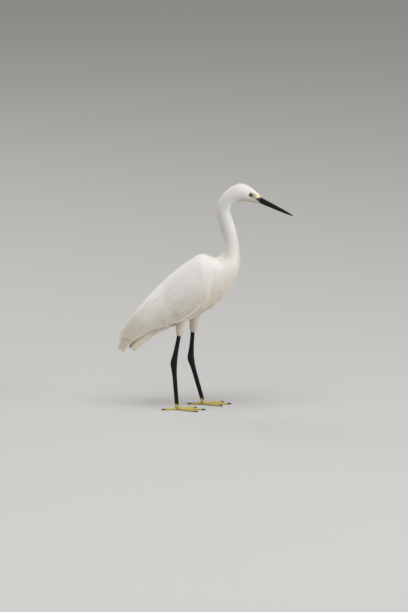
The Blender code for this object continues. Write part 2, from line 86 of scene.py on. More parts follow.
class Socket:
    """The output of a shader node, on which Python's arithmetic adds nodes."""

    def __init__(self, shading: "Shading", output: bpy.types.NodeSocket) -> None:
        """Wraps an output of a node.

        Args:
            shading: The material that the node belongs to.
            output: The node's output.
        """
        self.shading = shading
        self.output = output

    def math(self, operation: str, *others: "Socket | float") -> "Socket":
        """Puts this value through a Math node.

        Args:
            operation: The node's operation.
            others: Its second and third values.

        Returns:
            The node's result.
        """
        return self.shading.math(operation, self, *others)

    def __add__(self, other: "Socket | float") -> "Socket":
        """This value plus the other."""
        return self.math("ADD", other)

    __radd__ = __add__

    def __sub__(self, other: "Socket | float") -> "Socket":
        """This value less the other."""
        return self.math("SUBTRACT", other)

    def __rsub__(self, other: float) -> "Socket":
        """The other value less this one."""
        return self.shading.math("SUBTRACT", other, self)

    def __mul__(self, other: "Socket | float") -> "Socket":
        """This value times the other."""
        return self.math("MULTIPLY", other)

    __rmul__ = __mul__

    def __pow__(self, other: "Socket | float") -> "Socket":
        """This value to the other's power."""
        return self.math("POWER", other)

    def ramp(self, low: float, high: float) -> "Socket":
        """Eases from 0 where this value is low to 1 where it is high.

        Args:
            low: The value that gives 0.
            high: The value that gives 1, which may be the smaller.

        Returns:
            The eased share.
        """
        settings = {"interpolation_type": "SMOOTHSTEP"}
        sockets = {"Value": self, "From Min": low, "From Max": high}
        return self.shading.node("ShaderNodeMapRange", settings, sockets)


class Shading:
    """One material's nodes, built round a Principled shader."""

    def __init__(self, name: str, **constant: object) -> None:
        """Makes the material.

        Args:
            name: The material's name.
            constant: Values of the Principled shader's own sockets, spaces written as underscores.
        """
        self.material = bpy.data.materials.new(name)
        self.material.use_nodes = True
        self.tree = self.material.node_tree
        self.shader = self.tree.nodes["Principled BSDF"]
        for socket, value in constant.items():
            self.feed(socket, value)

    def feed(self, socket: str, value: object) -> None:
        """Sets or links an input of the Principled shader.

        Args:
            socket: The input's name, spaces written as underscores.
            value: A number, a colour or a Socket.
        """
        self._connect(self.shader.inputs[socket.replace("_", " ")], value)

    def _connect(self, target: bpy.types.NodeSocket, value: object) -> None:
        """Sets or links one input of a node.

        Args:
            target: The input.
            value: A number, a vector, a colour or a Socket.
        """
        if isinstance(value, Socket):
            self.tree.links.new(value.output, target)
        elif isinstance(value, tuple) and len(value) == 3 and target.type == "RGBA":
            target.default_value = (*value, 1.0)
        else:
            target.default_value = value

    def node(self, kind: str, settings: dict, sockets: dict, result: int | str = 0) -> Socket:
        """Adds a node.

        Args:
            kind: The node's type.
            settings: Its own properties, set before its sockets.
            sockets: The values or links of its inputs, by name or number.
            result: Which output is wanted.

        Returns:
            That output.
        """
        made = self.tree.nodes.new(kind)
        for name, value in settings.items():
            setattr(made, name, value)
        for name, value in sockets.items():
            self._connect(made.inputs[name], value)
        return Socket(self, made.outputs[result])

    def math(self, operation: str, *values: "Socket | float") -> Socket:
        """Adds a Math node on the values, and gives its result."""
        return self.node("ShaderNodeMath", {"operation": operation}, dict(enumerate(values)))

    def mix(self, share: Socket, first: object, second: object) -> Socket:
        """Mixes two colours.

        Args:
            share: How much of the second.
            first: A colour or a Socket.
            second: A colour or a Socket.

        Returns:
            The mixed colour.
        """
        sockets = {0: share, 6: first, 7: second}
        return self.node("ShaderNodeMix", {"data_type": "RGBA"}, sockets, 2)

    def parts(self, vector: Socket) -> tuple[Socket, Socket, Socket]:
        """A vector's three values."""
        return tuple(self.node("ShaderNodeSeparateXYZ", {}, {0: vector}, axis) for axis in "XYZ")

    def place(self) -> tuple[Socket, Socket, Socket]:
        """Reads the object coordinates.

        Returns:
            The place's x, y and z, in millimetres.
        """
        spot = self.node("ShaderNodeTexCoord", {}, {}, "Object")
        scale = {0: spot, "Scale": 1 / MM}
        return self.parts(self.node("ShaderNodeVectorMath", {"operation": "SCALE"}, scale))

    def vector(self, x: object, y: object, z: object) -> Socket:
        """Three values joined to a vector."""
        return self.node("ShaderNodeCombineXYZ", {}, {0: x, 1: y, 2: z})

    def noise(self, where: Socket, scale: float, detail: float = 2.0) -> Socket:
        """Adds a noise texture.

        Args:
            where: The coordinates it is read at.
            scale: How fine it is.
            detail: How many finer layers it has.

        Returns:
            A value round one half.
        """
        sockets = {"Vector": where, "Scale": scale, "Detail": detail}
        return self.node("ShaderNodeTexNoise", {}, sockets)

    def bump(self, height: Socket, distance: float, strength: float = 1.0) -> None:
        """Raises the surface by a pattern.

        Args:
            height: The pattern.
            distance: What 1 in the pattern is worth, in millimetres.
            strength: How much of it shows.
        """
        sockets = {"Height": height, "Distance": distance * MM, "Strength": strength}
        self.feed("Normal", self.node("ShaderNodeBump", {}, sockets))


# Surfaces


@dataclass(frozen=True)
class Section:
    """A cross-section of the body: its ends on the lines of back and belly, and its half width."""

    dorsal: Pair
    ventral: Pair
    half_width: float


BODY = {
    "face": Section((121.0, 475.0), (117.0, 459.0), 6.6),
    "eyes": Section((98.0, 495.0), (95.5, 462.0), 12.2),
    "crown": Section((77.5, 503.0), (79.0, 463.5), 14.2),
    "nape": Section((42.0, 484.0), (59.5, 457.5), 13.4),
    "bend": Section((24.0, 450.0), (53.5, 442.0), 12.4),
    "neck_top": Section((26.5, 421.0), (58.5, 425.0), 12.6),
    "neck_middle": Section((36.5, 388.0), (69.0, 389.5), 13.6),
    "neck_low": Section((38.5, 361.0), (74.5, 357.0), 16.0),
    "neck_base": Section((34.0, 344.0), (76.5, 332.0), 21.0),
    "collar": Section((25.0, 337.0), (74.5, 312.0), 28.0),
    "shoulders": Section((-4.0, 342.5), (52.0, 266.0), 38.0),
    "breast": Section((-32.0, 328.0), (19.0, 231.0), 42.0),
    "belly": Section((-71.0, 299.0), (-17.5, 208.0), 41.0),
    "flank": Section((-106.0, 266.5), (-52.0, 189.5), 35.0),
    "rump": Section((-134.5, 234.0), (-84.0, 178.5), 26.0),
    "tail_root": Section((-159.0, 205.0), (-118.0, 160.5), 18.0),
    "tail_middle": Section((-177.0, 176.0), (-143.0, 139.0), 12.0),
    "wing_tips": Section((-190.0, 152.0), (-160.0, 125.0), 8.5),
    "beyond": Section((-199.0, 128.0), (-170.0, 104.0), 6.0),
}
DORSAL = np.array([section.dorsal for section in BODY.values()])
VENTRAL = np.array([section.ventral for section in BODY.values()])
WIDTHS = np.array([section.half_width for section in BODY.values()])


def distances(points: Array) -> Array:
    """How far each point of a chain lies along it."""
    return np.concatenate([[0], np.cumsum(np.linalg.norm(np.diff(points, axis=0), axis=1))])


KNOTS = distances((DORSAL + VENTRAL) / 2)
AT = dict(zip(BODY, KNOTS))


def eased(value: Array, low: float, high: float) -> Array:
    """Eases from 0 where the value is low to 1 where it is high.

    Args:
        value: The values.
        low: What gives 0.
        high: What gives 1.

    Returns:
        The eased shares.
    """
    share = np.clip((value - low) / (high - low), 0, 1)
    return share * share * (3 - 2 * share)


def through(values: Array, along: Array) -> Array:
    """Reads the smooth curve that takes these values at the body's sections.

    Args:
        values: One number or point for each section.
        along: Distances along the body.

    Returns:
        The curve's values there.
    """
    slopes = np.gradient(values, KNOTS, axis=0)
    first = np.clip(np.searchsorted(KNOTS, along, "right") - 1, 0, len(KNOTS) - 2)
    step = KNOTS[first + 1] - KNOTS[first]
    s = (along - KNOTS[first]) / step
    if values.ndim > 1:
        s, step = s[..., None], step[..., None]
    return (
        (1 + 2 * s) * (1 - s) ** 2 * values[first]
        + s * (1 - s) ** 2 * step * slopes[first]
        + s * s * (3 - 2 * s) * values[first + 1]
        + s * s * (s - 1) * step * slopes[first + 1]
    )


def oval(middle: Array, depth: Array, half_width: Array, around: Array, height: Array) -> Array:
    """Points over ovals that stand across the body.

    Args:
        middle: Their middles, as x and z.
        depth: Half their depth, towards the back.
        half_width: Half their width.
        around: Angles from the back, to the left.
        height: Heights over them.

    Returns:
        The points, in millimetres.
    """
    reach = np.cos(around) * (1 + height / np.linalg.norm(depth, axis=-1))
    out = middle + depth * reach[..., None]
    return np.stack([out[..., 0], (half_width + height) * np.sin(around), out[..., 1]], -1)


def on_body(along: Array, around: Array, height: Array) -> Array:
    """Points over the body's sections.

    Args:
        along: Distances along the body, from the face.
        around: Angles round it, from the back line, to the left.
        height: Heights over it.

    Returns:
        The points, in millimetres.
    """
    along, around, height = np.broadcast_arrays(along, around, height)
    dorsal, ventral = through(DORSAL, along), through(VENTRAL, along)
    middle, depth = (dorsal + ventral) / 2, (dorsal - ventral) / 2
    return oval(middle, depth, through(WIDTHS, along), around, height)


@dataclass(frozen=True)
class TailForm:
    """The arch of the closed tail, inside the body's last sections."""

    places: tuple[str, ...] = ("rump", "tail_root", "tail_middle", "wing_tips")
    rises: Row = (0.62, 0.50, 0.45, 0.26)
    half_widths: Row = (21.5, 16.5, 13.5, 12.0)
    belly: float = 0.15

    def place(self, along: Array, around: Array, height: Array) -> Array:
        """Points over the tail's arch.

        Args:
            along: Distances along the body.
            around: Angles from the ridge, to the left.
            height: Heights over the arch.

        Returns:
            The points, in millimetres.
        """
        along, around, height = np.broadcast_arrays(along, around, height)
        dorsal, ventral = through(DORSAL, along), through(VENTRAL, along)
        knots = [AT[name] for name in self.places]
        rise = np.interp(along, knots, self.rises)[..., None]
        half_width = np.interp(along, knots, self.half_widths)
        ridge = ventral + (dorsal - ventral) * rise
        middle = ventral + (ridge - ventral) * self.belly
        upper = (np.cos(around) > 0)[..., None]
        depth = np.where(upper, ridge - middle, middle - ventral)
        return oval(middle, depth, half_width, around, height)


@dataclass(frozen=True)
class WingForm:
    """A folded wing's surface: along from the bend to the tip, across from the back line."""

    low_places: tuple[str, ...] = (
        "collar", "shoulders", "breast", "belly", "flank", "rump", "tail_root", "tail_middle",
        "wing_tips", "beyond",
    )
    low_angles: Row = (60, 72, 111, 129, 132, 126, 109, 91, 86, 84)
    front_top: float = 2.0
    front_low: float = 0.8
    front_bulge: float = 9.0
    front_fade: int = 6
    end_top: float = 3.0
    end_low: float = 24.0
    hang: float = 0.35
    hangs_from: float = 2.0
    search_steps: int = 6
    level_places: Row = (0.0, 0.05, 0.15, 0.32, 0.55, 0.64, 1.0)
    levels: Row = (2.4, 3.9, 4.15, 4.05, 3.75, 3.5, 3.1)

    def low(self, along: Array) -> Array:
        """The angle round the body of the wing's lower edge."""
        return np.radians(np.interp(along, [AT[name] for name in self.low_places], self.low_angles))

    def level(self, along: Array) -> Array:
        """How high the wing's plumage lies over the body."""
        return np.interp(along, self.level_places, self.levels)

    def stand_off(self, distance: Array, around: Array) -> Array:
        """How far the wing hangs clear where the body curves in under it."""
        past = np.maximum(0.0, around - math.pi / 2)
        return self.hang * through(WIDTHS, distance) * (1 - np.sin(around)) * past

    def ends(self) -> tuple[float, float, float, float]:
        """Finds where along the body the wing starts and ends.

        Returns:
            Its start on the back line and on the lower edge, and its end on both.
        """
        shoulders, breast, tips = AT["shoulders"], AT["breast"], AT["wing_tips"]
        low_start = shoulders + self.front_low * (breast - shoulders)
        return shoulders + self.front_top, low_start, tips + self.end_top, tips + self.end_low

    def bulge(self, along: Array, across: Array) -> Array:
        """How far the rounded bend of the wing stands forward."""
        fade = (1 - np.minimum(along, 1)) ** self.front_fade
        return self.front_bulge * fade * np.sin(math.pi * np.clip(across, 0, 1))

    def place(self, along: Array, across: Array, height: Array) -> Array:
        """Points over the left wing.

        Args:
            along: Shares of the way from the bend to the tip.
            across: Shares of the way from the back line to the lower edge.
            height: Heights over the body.

        Returns:
            The points, in millimetres.
        """
        along, across, height = np.broadcast_arrays(along, across, height)
        top_start, low_start, top_end, low_end = self.ends()
        top = top_start + along * (top_end - top_start)
        low = low_start + along * (low_end - low_start)
        distance = top + (low - top) * across - self.bulge(along, across)
        start = np.arcsin(GAP / (through(WIDTHS, distance) + height))
        around = start + (self.low(low) - start) * across
        off = self.stand_off(distance, around) * np.minimum(1.0, height / self.hangs_from)
        return on_body(distance, around, height + off)

    def find(self, distance: Array, around: Array) -> tuple[Array, Array]:
        """Finds where a place on the body lies on the wing over it.

        Args:
            distance: Distances along the body.
            around: Angles round it.

        Returns:
            The shares along and across the wing.
        """
        top_start, low_start, top_end, low_end = self.ends()
        around = np.abs(around)
        along, across = np.zeros_like(around), around / self.low(distance)
        for _ in range(self.search_steps):
            across = around / self.low(low_start + along * (low_end - low_start))
            lead = distance + self.bulge(np.maximum(along, 0), across) - top_start
            run = (top_end - top_start) + across * ((low_end - low_start) - (top_end - top_start))
            along = (lead - across * (low_start - top_start)) / run
        return along, across


TAIL = TailForm()
WING = WingForm()
RUMP_BLEND = (398.0, 426.0)


def on_trunk(along: Array, around: Array, height: Array) -> Array:
    """Points over head, neck and trunk, which runs on into the tail's arch.

    Args:
        along: Distances along the body, from the face.
        around: Angles round it, from the back line, to the left.
        height: Heights over it.

    Returns:
        The points, in millimetres.
    """
    along, around, height = np.broadcast_arrays(along, around, height)
    share = eased(along, *RUMP_BLEND)[..., None]
    return on_body(along, around, height) * (1 - share) + TAIL.place(along, around, height) * share


@dataclass(frozen=True)
class Overlap:
    """Where the plumage of back and shoulder covers the wing, in shares along and across it."""

    front: Pair = (-0.18, 0.03)
    low: Pair = (0.95, 1.18)
    behind_along: Pair = (0.45, 0.55)
    behind_across: Pair = (0.16, 0.24)
    flank_along: Pair = (0.1, 0.4)
    flank_across: Pair = (0.6, 0.9)
    clear: float = 0.5
    settles: float = 0.35
    settled_by: float = 0.1

    def height(self, along: Array, around: Array) -> Array:
        """How high that plumage lies over the body, which is nothing where it covers no wing.

        Args:
            along: Distances along the body.
            around: Angles round it.

        Returns:
            The heights.
        """
        share, across = WING.find(along, around)
        covers = eased(share, *self.front) * (1 - eased(across, *self.low))
        behind = eased(share, *self.behind_along) * eased(across, *self.behind_across)
        flank = eased(share, *self.flank_along) * eased(across, *self.flank_across)
        covers = covers * (1 - np.maximum(behind, flank))
        height = WING.level(share) + self.clear - self.settles * eased(share, 0.0, self.settled_by)
        return covers * (height + WING.stand_off(along, np.abs(around)))


OVERLAP = Overlap()


# Meshes


def linked(name: str, data: bpy.types.ID) -> Object:
    """Puts a new object in the scene.

    Args:
        name: The object's name.
        data: Its mesh, light or camera.

    Returns:
        The object.
    """
    made = bpy.data.objects.new(name, data)
    bpy.context.scene.collection.objects.link(made)
    return made


def as_object(mesh: bmesh.types.BMesh, name: str, finish: Material) -> Object:
    """Turns a bmesh into an object of the scene, shaded smooth.

    Args:
        mesh: The bmesh, which is freed.
        name: The object's name.
        finish: Its material.

    Returns:
        The object.
    """
    data = bpy.data.meshes.new(name)
    mesh.to_mesh(data)
    mesh.free()
    data.shade_smooth()
    data.materials.append(finish)
    return linked(name, data)


def wrapped(columns: int, rows: int, place: Roll) -> bmesh.types.BMesh:
    """A closed surface from a grid that is rolled into a tube, its open ends filled.

    Args:
        columns: Faces round the tube.
        rows: Faces along it.
        place: Gives the points, in millimetres, at shares round and along the tube.

    Returns:
        The surface.
    """
    mesh = bmesh.new()
    bmesh.ops.create_grid(mesh, x_segments=columns, y_segments=rows, size=0.5)
    shares = np.array([vert.co[:] for vert in mesh.verts])[:, :2] + 0.5
    points = place(shares[:, 0], shares[:, 1]) * MM
    for vert, point in zip(mesh.verts, points):
        vert.co = point
    bmesh.ops.remove_doubles(mesh, verts=mesh.verts, dist=WELD * MM)
    bmesh.ops.holes_fill(mesh, edges=mesh.edges, sides=0)
    bmesh.ops.recalc_face_normals(mesh, faces=mesh.faces)
    return mesh


def mirrored(points: Array, side: Side) -> Array:
    """Points of the left side, or their images on the right."""
    return points * np.array([1.0, side.value, 1.0])


def united(target: Object, others: list[Object]) -> Object:
    """Joins closed pieces into one surface.

    Args:
        target: The piece that is kept.
        others: The pieces that become part of it and are removed.

    Returns:
        The target.
    """
    collection = bpy.data.collections.new("joined to " + target.name)
    bpy.context.scene.collection.children.link(collection)
    for other in others:
        collection.objects.link(other)
    boolean = target.modifiers.new("union", "BOOLEAN")
    boolean.operation, boolean.solver = "UNION", "EXACT"
    boolean.operand_type, boolean.collection = "COLLECTION", collection
    whole = bmesh.new()
    whole.from_object(target, bpy.context.evaluated_depsgraph_get())
    target.modifiers.remove(boolean)
    whole.to_mesh(target.data)
    whole.free()
    target.data.shade_smooth()
    for other in others:
        bpy.data.objects.remove(other)
    bpy.data.collections.remove(collection)
    return target


def shown(piece: Object, slot: str, *nodes: str) -> Object:
    """Makes a piece part of the bird.

    Args:
        piece: The piece.
        slot: Not used.
        nodes: The solids that it stands for.

    Returns:
        The piece.
    """
    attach(piece, "root")
    if nodes:
        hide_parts(*nodes)
    LOG.info("%s: %d faces", piece.name, len(piece.data.polygons))
    return piece


# Feathers


@dataclass(frozen=True)
class Cut:
    """The cut of one kind of feather: a closed vane, thin at its edge."""

    rows: int
    columns: int
    shares: Row
    widths: Row
    thickness: float
    camber: float = 0.0
    shaft: float = 0.0
    sweep: float = 0.0
    fray: float = 0.0

    def grid(self) -> tuple[Array, Array, Array, Array]:
        """Works out one vane.

        Returns:
            For each point its share of the length, its place across from -1 to 1 and whether it
            is on the upper face (1), the under face (-1) or the edge (0), and the faces.
        """
        lengthwise, crosswise = np.linspace(0, 1, self.rows), np.linspace(-1, 1, self.columns)
        share, across = np.meshgrid(lengthwise, crosswise, indexing="ij")
        inner = np.zeros((self.rows, self.columns), bool)
        inner[1:-1, 1:-1] = True
        upper = np.arange(self.rows * self.columns).reshape(self.rows, self.columns)
        under = upper.copy()
        under[inner] = upper.size + np.arange(inner.sum())
        faces = []
        for number, order in ((upper, 1), (under, -1)):
            corners = (number[:-1, :-1], number[:-1, 1:], number[1:, 1:], number[1:, :-1])
            faces.append(np.stack(corners, -1).reshape(-1, 4)[:, ::order])
        layer = np.concatenate([inner.ravel().astype(float), -np.ones(inner.sum())])
        shares = np.concatenate([share.ravel(), share[inner]])
        return shares, np.concatenate([across.ravel(), across[inner]]), layer, np.concatenate(faces)


@dataclass
class Plumes:
    """Feathers of one kind: each one's root and tip on its surface, its size and how it lies."""

    root: Array
    tip: Array
    width: Array | float
    root_height: Array | float
    tip_height: Array | float
    lap: Array | float
    rise: float = 1.0
    narrowing: float = 0.0

    def __post_init__(self) -> None:
        """Gives each feather its own value where there is one for all."""
        for name in ("width", "root_height", "tip_height", "lap"):
            setattr(self, name, np.broadcast_to(getattr(self, name), len(self.root)))

    def chosen(self, keep: Array) -> "Plumes":
        """Those of the feathers that are marked."""
        names = ("root", "tip", "width", "root_height", "tip_height", "lap")
        return replace(self, **{name: getattr(self, name)[keep] for name in names})


BAKE_PATCH = 0.003
VANE_EDGE = math.radians(70)


class Coat:
    """One piece of plumage: many closed vanes laid on a surface and joined in one mesh."""

    # How finely the surface is measured, where vanes come free of one another, how far a frayed
    # edge strays along, and how much of the vane's width the shaft takes.
    probes = (1000, 200)
    free_from = (0.15, 0.5)
    fray_along = 0.3
    shaft_share = 0.2

    def __init__(self, name: str, finish: Material, bake_span: Pair) -> None:
        """Starts an empty coat.

        Args:
            name: The piece's name.
            finish: Its material.
            bake_span: How far the surface's two coordinates run, for the bake's unwrap.
        """
        self.name = name
        self.finish = finish
        self.bake_span = bake_span
        self.random = np.random.default_rng([SEED, *name.encode()])
        self.points: list[Array] = []
        self.faces: list[Array] = []
        self.vane_maps: list[Array] = []
        self.bake_maps: list[Array] = []
        self.tints: list[Array] = []

    def stretch(self, spots: Array, place: Place) -> Array:
        """Measures how many millimetres the surface runs for a unit of each coordinate.

        Args:
            spots: Coordinates on the surface.
            place: The surface.

        Returns:
            The two measures at each of them.
        """
        sides = []
        for shift in np.diag(self.bake_span) / self.probes:
            ends = (np.moveaxis(spots + way * shift, -1, 0) for way in (1, -1))
            ahead, behind = (place(*end, 0.0) for end in ends)
            sides.append(np.linalg.norm(ahead - behind, axis=-1) / (2 * shift.sum()))
        return np.stack(sides, -1)

    def lay(
        self, plumes: Plumes, cut: Cut, place: Place,
        side: Side = Side.LEFT, lift: Roll | None = None,
    ) -> None:
        """Adds feathers.

        Args:
            plumes: The feathers.
            cut: Their cut.
            place: The surface they lie on.
            side: The side it is mirrored to.
            lift: Gives more height at places of the surface.
        """
        share, across, layer, faces = cut.grid()
        total = len(plumes.root)
        edge = np.abs(across)
        loose = self.random.uniform(-1, 1, (total, share.size)) * cut.fray * edge
        free = eased(share, *self.free_from)
        swept = (cut.sweep * edge + loose * self.fray_along) * free * (1 - share)
        shares = np.clip(share + swept, 0, 1)
        outline = np.interp(shares, cut.shares, cut.widths) * (1 + loose * free)
        run = (plumes.tip - plumes.root)[:, None, :]
        centre = plumes.root[:, None, :] + run * shares[..., None]
        scale = self.stretch(centre, place)
        heading = run * scale
        heading = heading / np.linalg.norm(heading, axis=-1, keepdims=True)
        square = np.stack([-heading[..., 1], heading[..., 0]], -1) / scale
        width = plumes.width[:, None] * (1 - plumes.narrowing * shares)
        spot = centre + square * (across * outline * width / 2)[..., None]
        height = (
            plumes.root_height[:, None]
            + (plumes.tip_height - plumes.root_height)[:, None] * shares**plumes.rise
            + plumes.lap[:, None] / 2 * across * outline
            + cut.camber * (1 - across**2) * outline
            + cut.shaft * np.maximum(0, 1 - edge / self.shaft_share) * (1 - share)
            + layer * cut.thickness / 2
        )
        if lift is not None:
            height = height + lift(spot[..., 0], spot[..., 1])
        made = mirrored(place(spot[..., 0], spot[..., 1], height), side)
        start = sum(len(points) for points in self.points)
        self.points.append(made.reshape(-1, 3))
        firsts = start + np.arange(total)[:, None, None] * share.size
        self.faces.append((faces[:, :: side.value] + firsts).reshape(-1, 4))
        vane = np.broadcast_to(np.stack([across / 2 + 0.5, share], -1), (total, share.size, 2))
        home = np.mod(plumes.root / self.bake_span, 1.0) * (1 - BAKE_PATCH)
        self.vane_maps.append(vane.reshape(-1, 2))
        self.bake_maps.append((home[:, None, ::-1] + vane * BAKE_PATCH).reshape(-1, 2))
        self.tints.append(np.repeat(self.random.uniform(0, 1, total), share.size))

    def finished(self) -> Object:
        """Joins the feathers into the piece.

        Returns:
            The piece.
        """
        data = bpy.data.meshes.new(self.name)
        faces = np.concatenate(self.faces)
        data.from_pydata(np.concatenate(self.points) * MM, [], faces)
        corners = faces.ravel()
        for name, maps in (("vane", self.vane_maps), ("OFBake", self.bake_maps)):
            layer = data.uv_layers.new(name=name)
            layer.uv.foreach_set("vector", np.concatenate(maps)[corners].ravel().astype(np.float32))
        tint = data.attributes.new("tint", "FLOAT", "POINT")
        tint.data.foreach_set("value", np.concatenate(self.tints).astype(np.float32))
        data.update()
        data.shade_smooth()
        data.set_sharp_from_angle(angle=VANE_EDGE)
        data.materials.append(self.finish)
        return linked(self.name, data)


# Finishes


@dataclass(frozen=True)
class FaceMarks:
    """Where the bare face lies, seen from the side, in millimetres of x and z."""

    eye: Pair = (99.3, 479.6)
    ring: float = 4.7
    upper: tuple[Pair, Pair] = ((102.0, 484.0), (121.0, 475.2))
    lower: tuple[Pair, Pair] = ((94.0, 476.6), (119.5, 464.9))
    gape: Pair = (109.0, 470.6)
    gape_top: Pair = (122.0, 473.6)
    gape_bottom: Pair = (119.0, 460.6)
    point: Pair = (123.0, 0.27)

    def over(self, line: tuple, x: object, z: object) -> object:
        """How far a place lies above a line, as a number, an array or a Socket.

        Args:
            line: Two points of the line.
            x: The place along X.
            z: The place along Z.

        Returns:
            The distance, below 0 under the line.
        """
        (x0, z0), (x1, z1) = line
        length = math.hypot(x1 - x0, z1 - z0)
        return (z - z0) * ((x1 - x0) / length) - (x - x0) * ((z1 - z0) / length)

    def lores(self, x: object, z: object) -> tuple[object, object]:
        """How far a place lies above the upper and above the lower edge of the lores."""
        return self.over(self.upper, x, z), self.over(self.lower, x, z)

    def horn(self, x: object, z: object) -> tuple[object, object]:
        """How far a place lies above the upper and above the lower edge of the mouth's corner."""
        upper, lower = (self.gape, self.gape_top), (self.gape, self.gape_bottom)
        return self.over(upper, x, z), self.over(lower, x, z)

    def bare(self, x: Array, y: Array, z: Array) -> Array:
        """Where no feathers grow: the ring of the eye, the lores and the horn at the bill's root.

        Args:
            x: Places along X.
            y: Places along Y.
            z: Places along Z.

        Returns:
            Whether each place is bare.
        """
        ring = np.hypot(x - self.eye[0], z - self.eye[1]) < self.ring
        upper, lower = self.lores(x, z)
        lores = (upper < 0) & (lower > 0)
        lores &= (x > self.eye[0] - 1) & (np.abs(y) > (self.point[0] - x) * self.point[1])
        upper, lower = self.horn(x, z)
        return ring | lores | (upper < 0) & (lower > 0) & (x > self.gape[0])


FACE = FaceMarks()


def warmth(x: Socket, z: Socket) -> Socket:
    """How creamy the plumage is: stain, painted warm shade, and painted shade under the chin.

    Args:
        x: The place along X.
        z: The place along Z.

    Returns:
        A share from 0 to 1.
    """
    # Most on belly, tail and wing tips: stain with painted warm bounce light and shade.
    under = (x * 0.5 - z * 0.87).ramp(-266.0, -196.0)
    # A little painted shade under the chin.
    chin = (z - x * 0.1).ramp(467.0, 457.0) * x.ramp(62.0, 80.0) * 0.9
    return under.math("MAXIMUM", chin)


@dataclass(frozen=True)
class PlumageFinish:
    """White plumage with its barbs' fine lines; stain and painted warm shade make it creamy below.
    """

    name: str = "white plumage"
    white: Triple = (0.895, 0.888, 0.865)
    # A creamy colour that is partly stain and partly painted warm shade.
    cream: Triple = (0.77, 0.685, 0.535)
    # Painted shade, darker and browner towards the tail and wing tips.
    worn: Triple = (0.60, 0.54, 0.40)
    worn_from: Pair = (-50.0, -125.0)
    shade: Triple = (0.70, 0.635, 0.53)
    shaft_shade: float = 0.10
    root_shade: float = 0.12
    tint_shade: float = 0.06
    roughness: float = 0.62
    sheen: float = 0.12
    glow: float = 0.4
    glow_reach: float = 0.002
    barbs: float = 60.0
    slant: float = 0.35
    barb_height: float = 0.05

    def build(self) -> Material:
        """Makes the material.

        Returns:
            The material.
        """
        shading = Shading(
            self.name, Roughness=self.roughness, Sheen_Weight=self.sheen, Sheen_Roughness=0.5,
            Subsurface_Weight=self.glow, Subsurface_Radius=(1.0, 1.0, 1.0),
            Subsurface_Scale=self.glow_reach,
        )
        x, y, z = shading.place()
        blotches = shading.noise(shading.vector(x, y, z), 0.05, 3)
        across, along, _ = shading.parts(shading.node("ShaderNodeUVMap", {"uv_map": "vane"}, {}))
        tint = shading.node("ShaderNodeAttribute", {"attribute_name": "tint"}, {}, "Fac")
        # Creamy below: stain and painted warm shade.
        colour = shading.mix(warmth(x, z) * (blotches * 0.9 + 0.5), self.white, self.cream)
        # Painted shade, darker and browner towards the tail and wing tips.
        colour = shading.mix((x + z * 0.3).ramp(*self.worn_from) * 0.6, colour, self.worn)
        off = (across - 0.5).math("ABSOLUTE")
        shade = off.ramp(0.06, 0.0) * self.shaft_shade + along.ramp(0.45, 0.0) * self.root_shade
        shading.feed("Base_Color", shading.mix(shade + tint * self.tint_shade, colour, self.shade))
        barbs = ((along - off * self.slant + tint) * self.barbs).math("SINE")
        streak = shading.noise(shading.vector(across * 9 + tint * 50, along * 1.2, 0.0), 1.6, 3)
        shading.bump(barbs * 0.35 + streak, self.barb_height)
        return shading.material


@dataclass(frozen=True)
class SkinFinish:
    """The skin: plumage-white under the feathers, bare and yellowish grey on the face."""

    name: str = "skin"
    white: Triple = (0.86, 0.84, 0.80)
    # A creamy colour that is partly stain and partly painted warm shade.
    cream: Triple = (0.77, 0.685, 0.535)
    dusk: Triple = (0.19, 0.175, 0.125)
    # A dark ring round the eye: the lids' dark rim and painted shade round it.
    margin: Triple = (0.035, 0.033, 0.025)
    lores: Triple = (0.36, 0.33, 0.235)
    orange: Triple = (0.66, 0.51, 0.34)
    gape: Triple = (0.008, 0.008, 0.009)
    roughness: float = 0.55
    gloss: float = 0.15
    wrinkle_height: float = 0.25
    orange_from: Pair = (107.5, 114.5)
    margin_within: Pair = (5.3, 4.3)
    margin_beyond: Pair = (3.0, 3.6)

    def build(self) -> Material:
        """Makes the material.

        Returns:
            The material.
        """
        shading = Shading(self.name, Roughness=self.roughness)
        x, y, z = shading.place()
        where = shading.vector(x, y, z)
        fine, broad = shading.noise(where, 0.9, 3), shading.noise(where, 0.35, 2)
        reach = ((x - FACE.eye[0]) ** 2 + (z - FACE.eye[1]) ** 2).math("SQRT")
        ring = reach.ramp(FACE.ring + 1.2, FACE.ring)
        upper, lower = FACE.lores(x, z)
        wedge = y.math("ABSOLUTE") + (x - FACE.point[0]) * FACE.point[1]
        lores = upper.ramp(1.0, 0.2) * lower.ramp(-0.8, 0.0) * x.ramp(96.0, 98.0)
        lores = lores * wedge.ramp(-0.2, 0.5)
        front = (x + (fine - 0.5) * 5 + (broad - 0.5) * 6).ramp(*self.orange_from)
        front = front * (lower + (fine - 0.5) * 2).ramp(1.2, 4.6)
        bare = shading.mix(broad.ramp(0.4, 0.65), self.lores, self.dusk)
        bare = shading.mix(front, bare, self.orange)
        # Creamy below, as on the plumage: stain and painted warm shade.
        colour = shading.mix(warmth(x, z), self.white, self.cream)
        colour = shading.mix(ring.math("MAXIMUM", lores), colour, bare)
        # The lids' dark rim and painted shade round the eye.
        margin = reach.ramp(*self.margin_within) * reach.ramp(*self.margin_beyond)
        colour = shading.mix(margin * 0.9, colour, self.margin)
        top, bottom = FACE.horn(x, z)
        horn = top.ramp(0.4, -0.3) * bottom.ramp(-0.4, 0.3)
        horn = horn * x.ramp(FACE.gape[0] - 0.6, FACE.gape[0] + 0.6)
        line = lower.math("ABSOLUTE").ramp(0.95, 0.3) * x.ramp(99.0, 104.0)
        dark = horn.math("MAXIMUM", line * 0.9)
        colour = shading.mix(dark, colour, self.gape)
        shading.feed("Base_Color", colour)
        shading.feed("Roughness", dark * -self.gloss + self.roughness)
        wrinkles = shading.noise(shading.vector(x * 0.6, y, z * 1.8), 1.4, 4)
        shading.bump(wrinkles, self.wrinkle_height)
        return shading.material


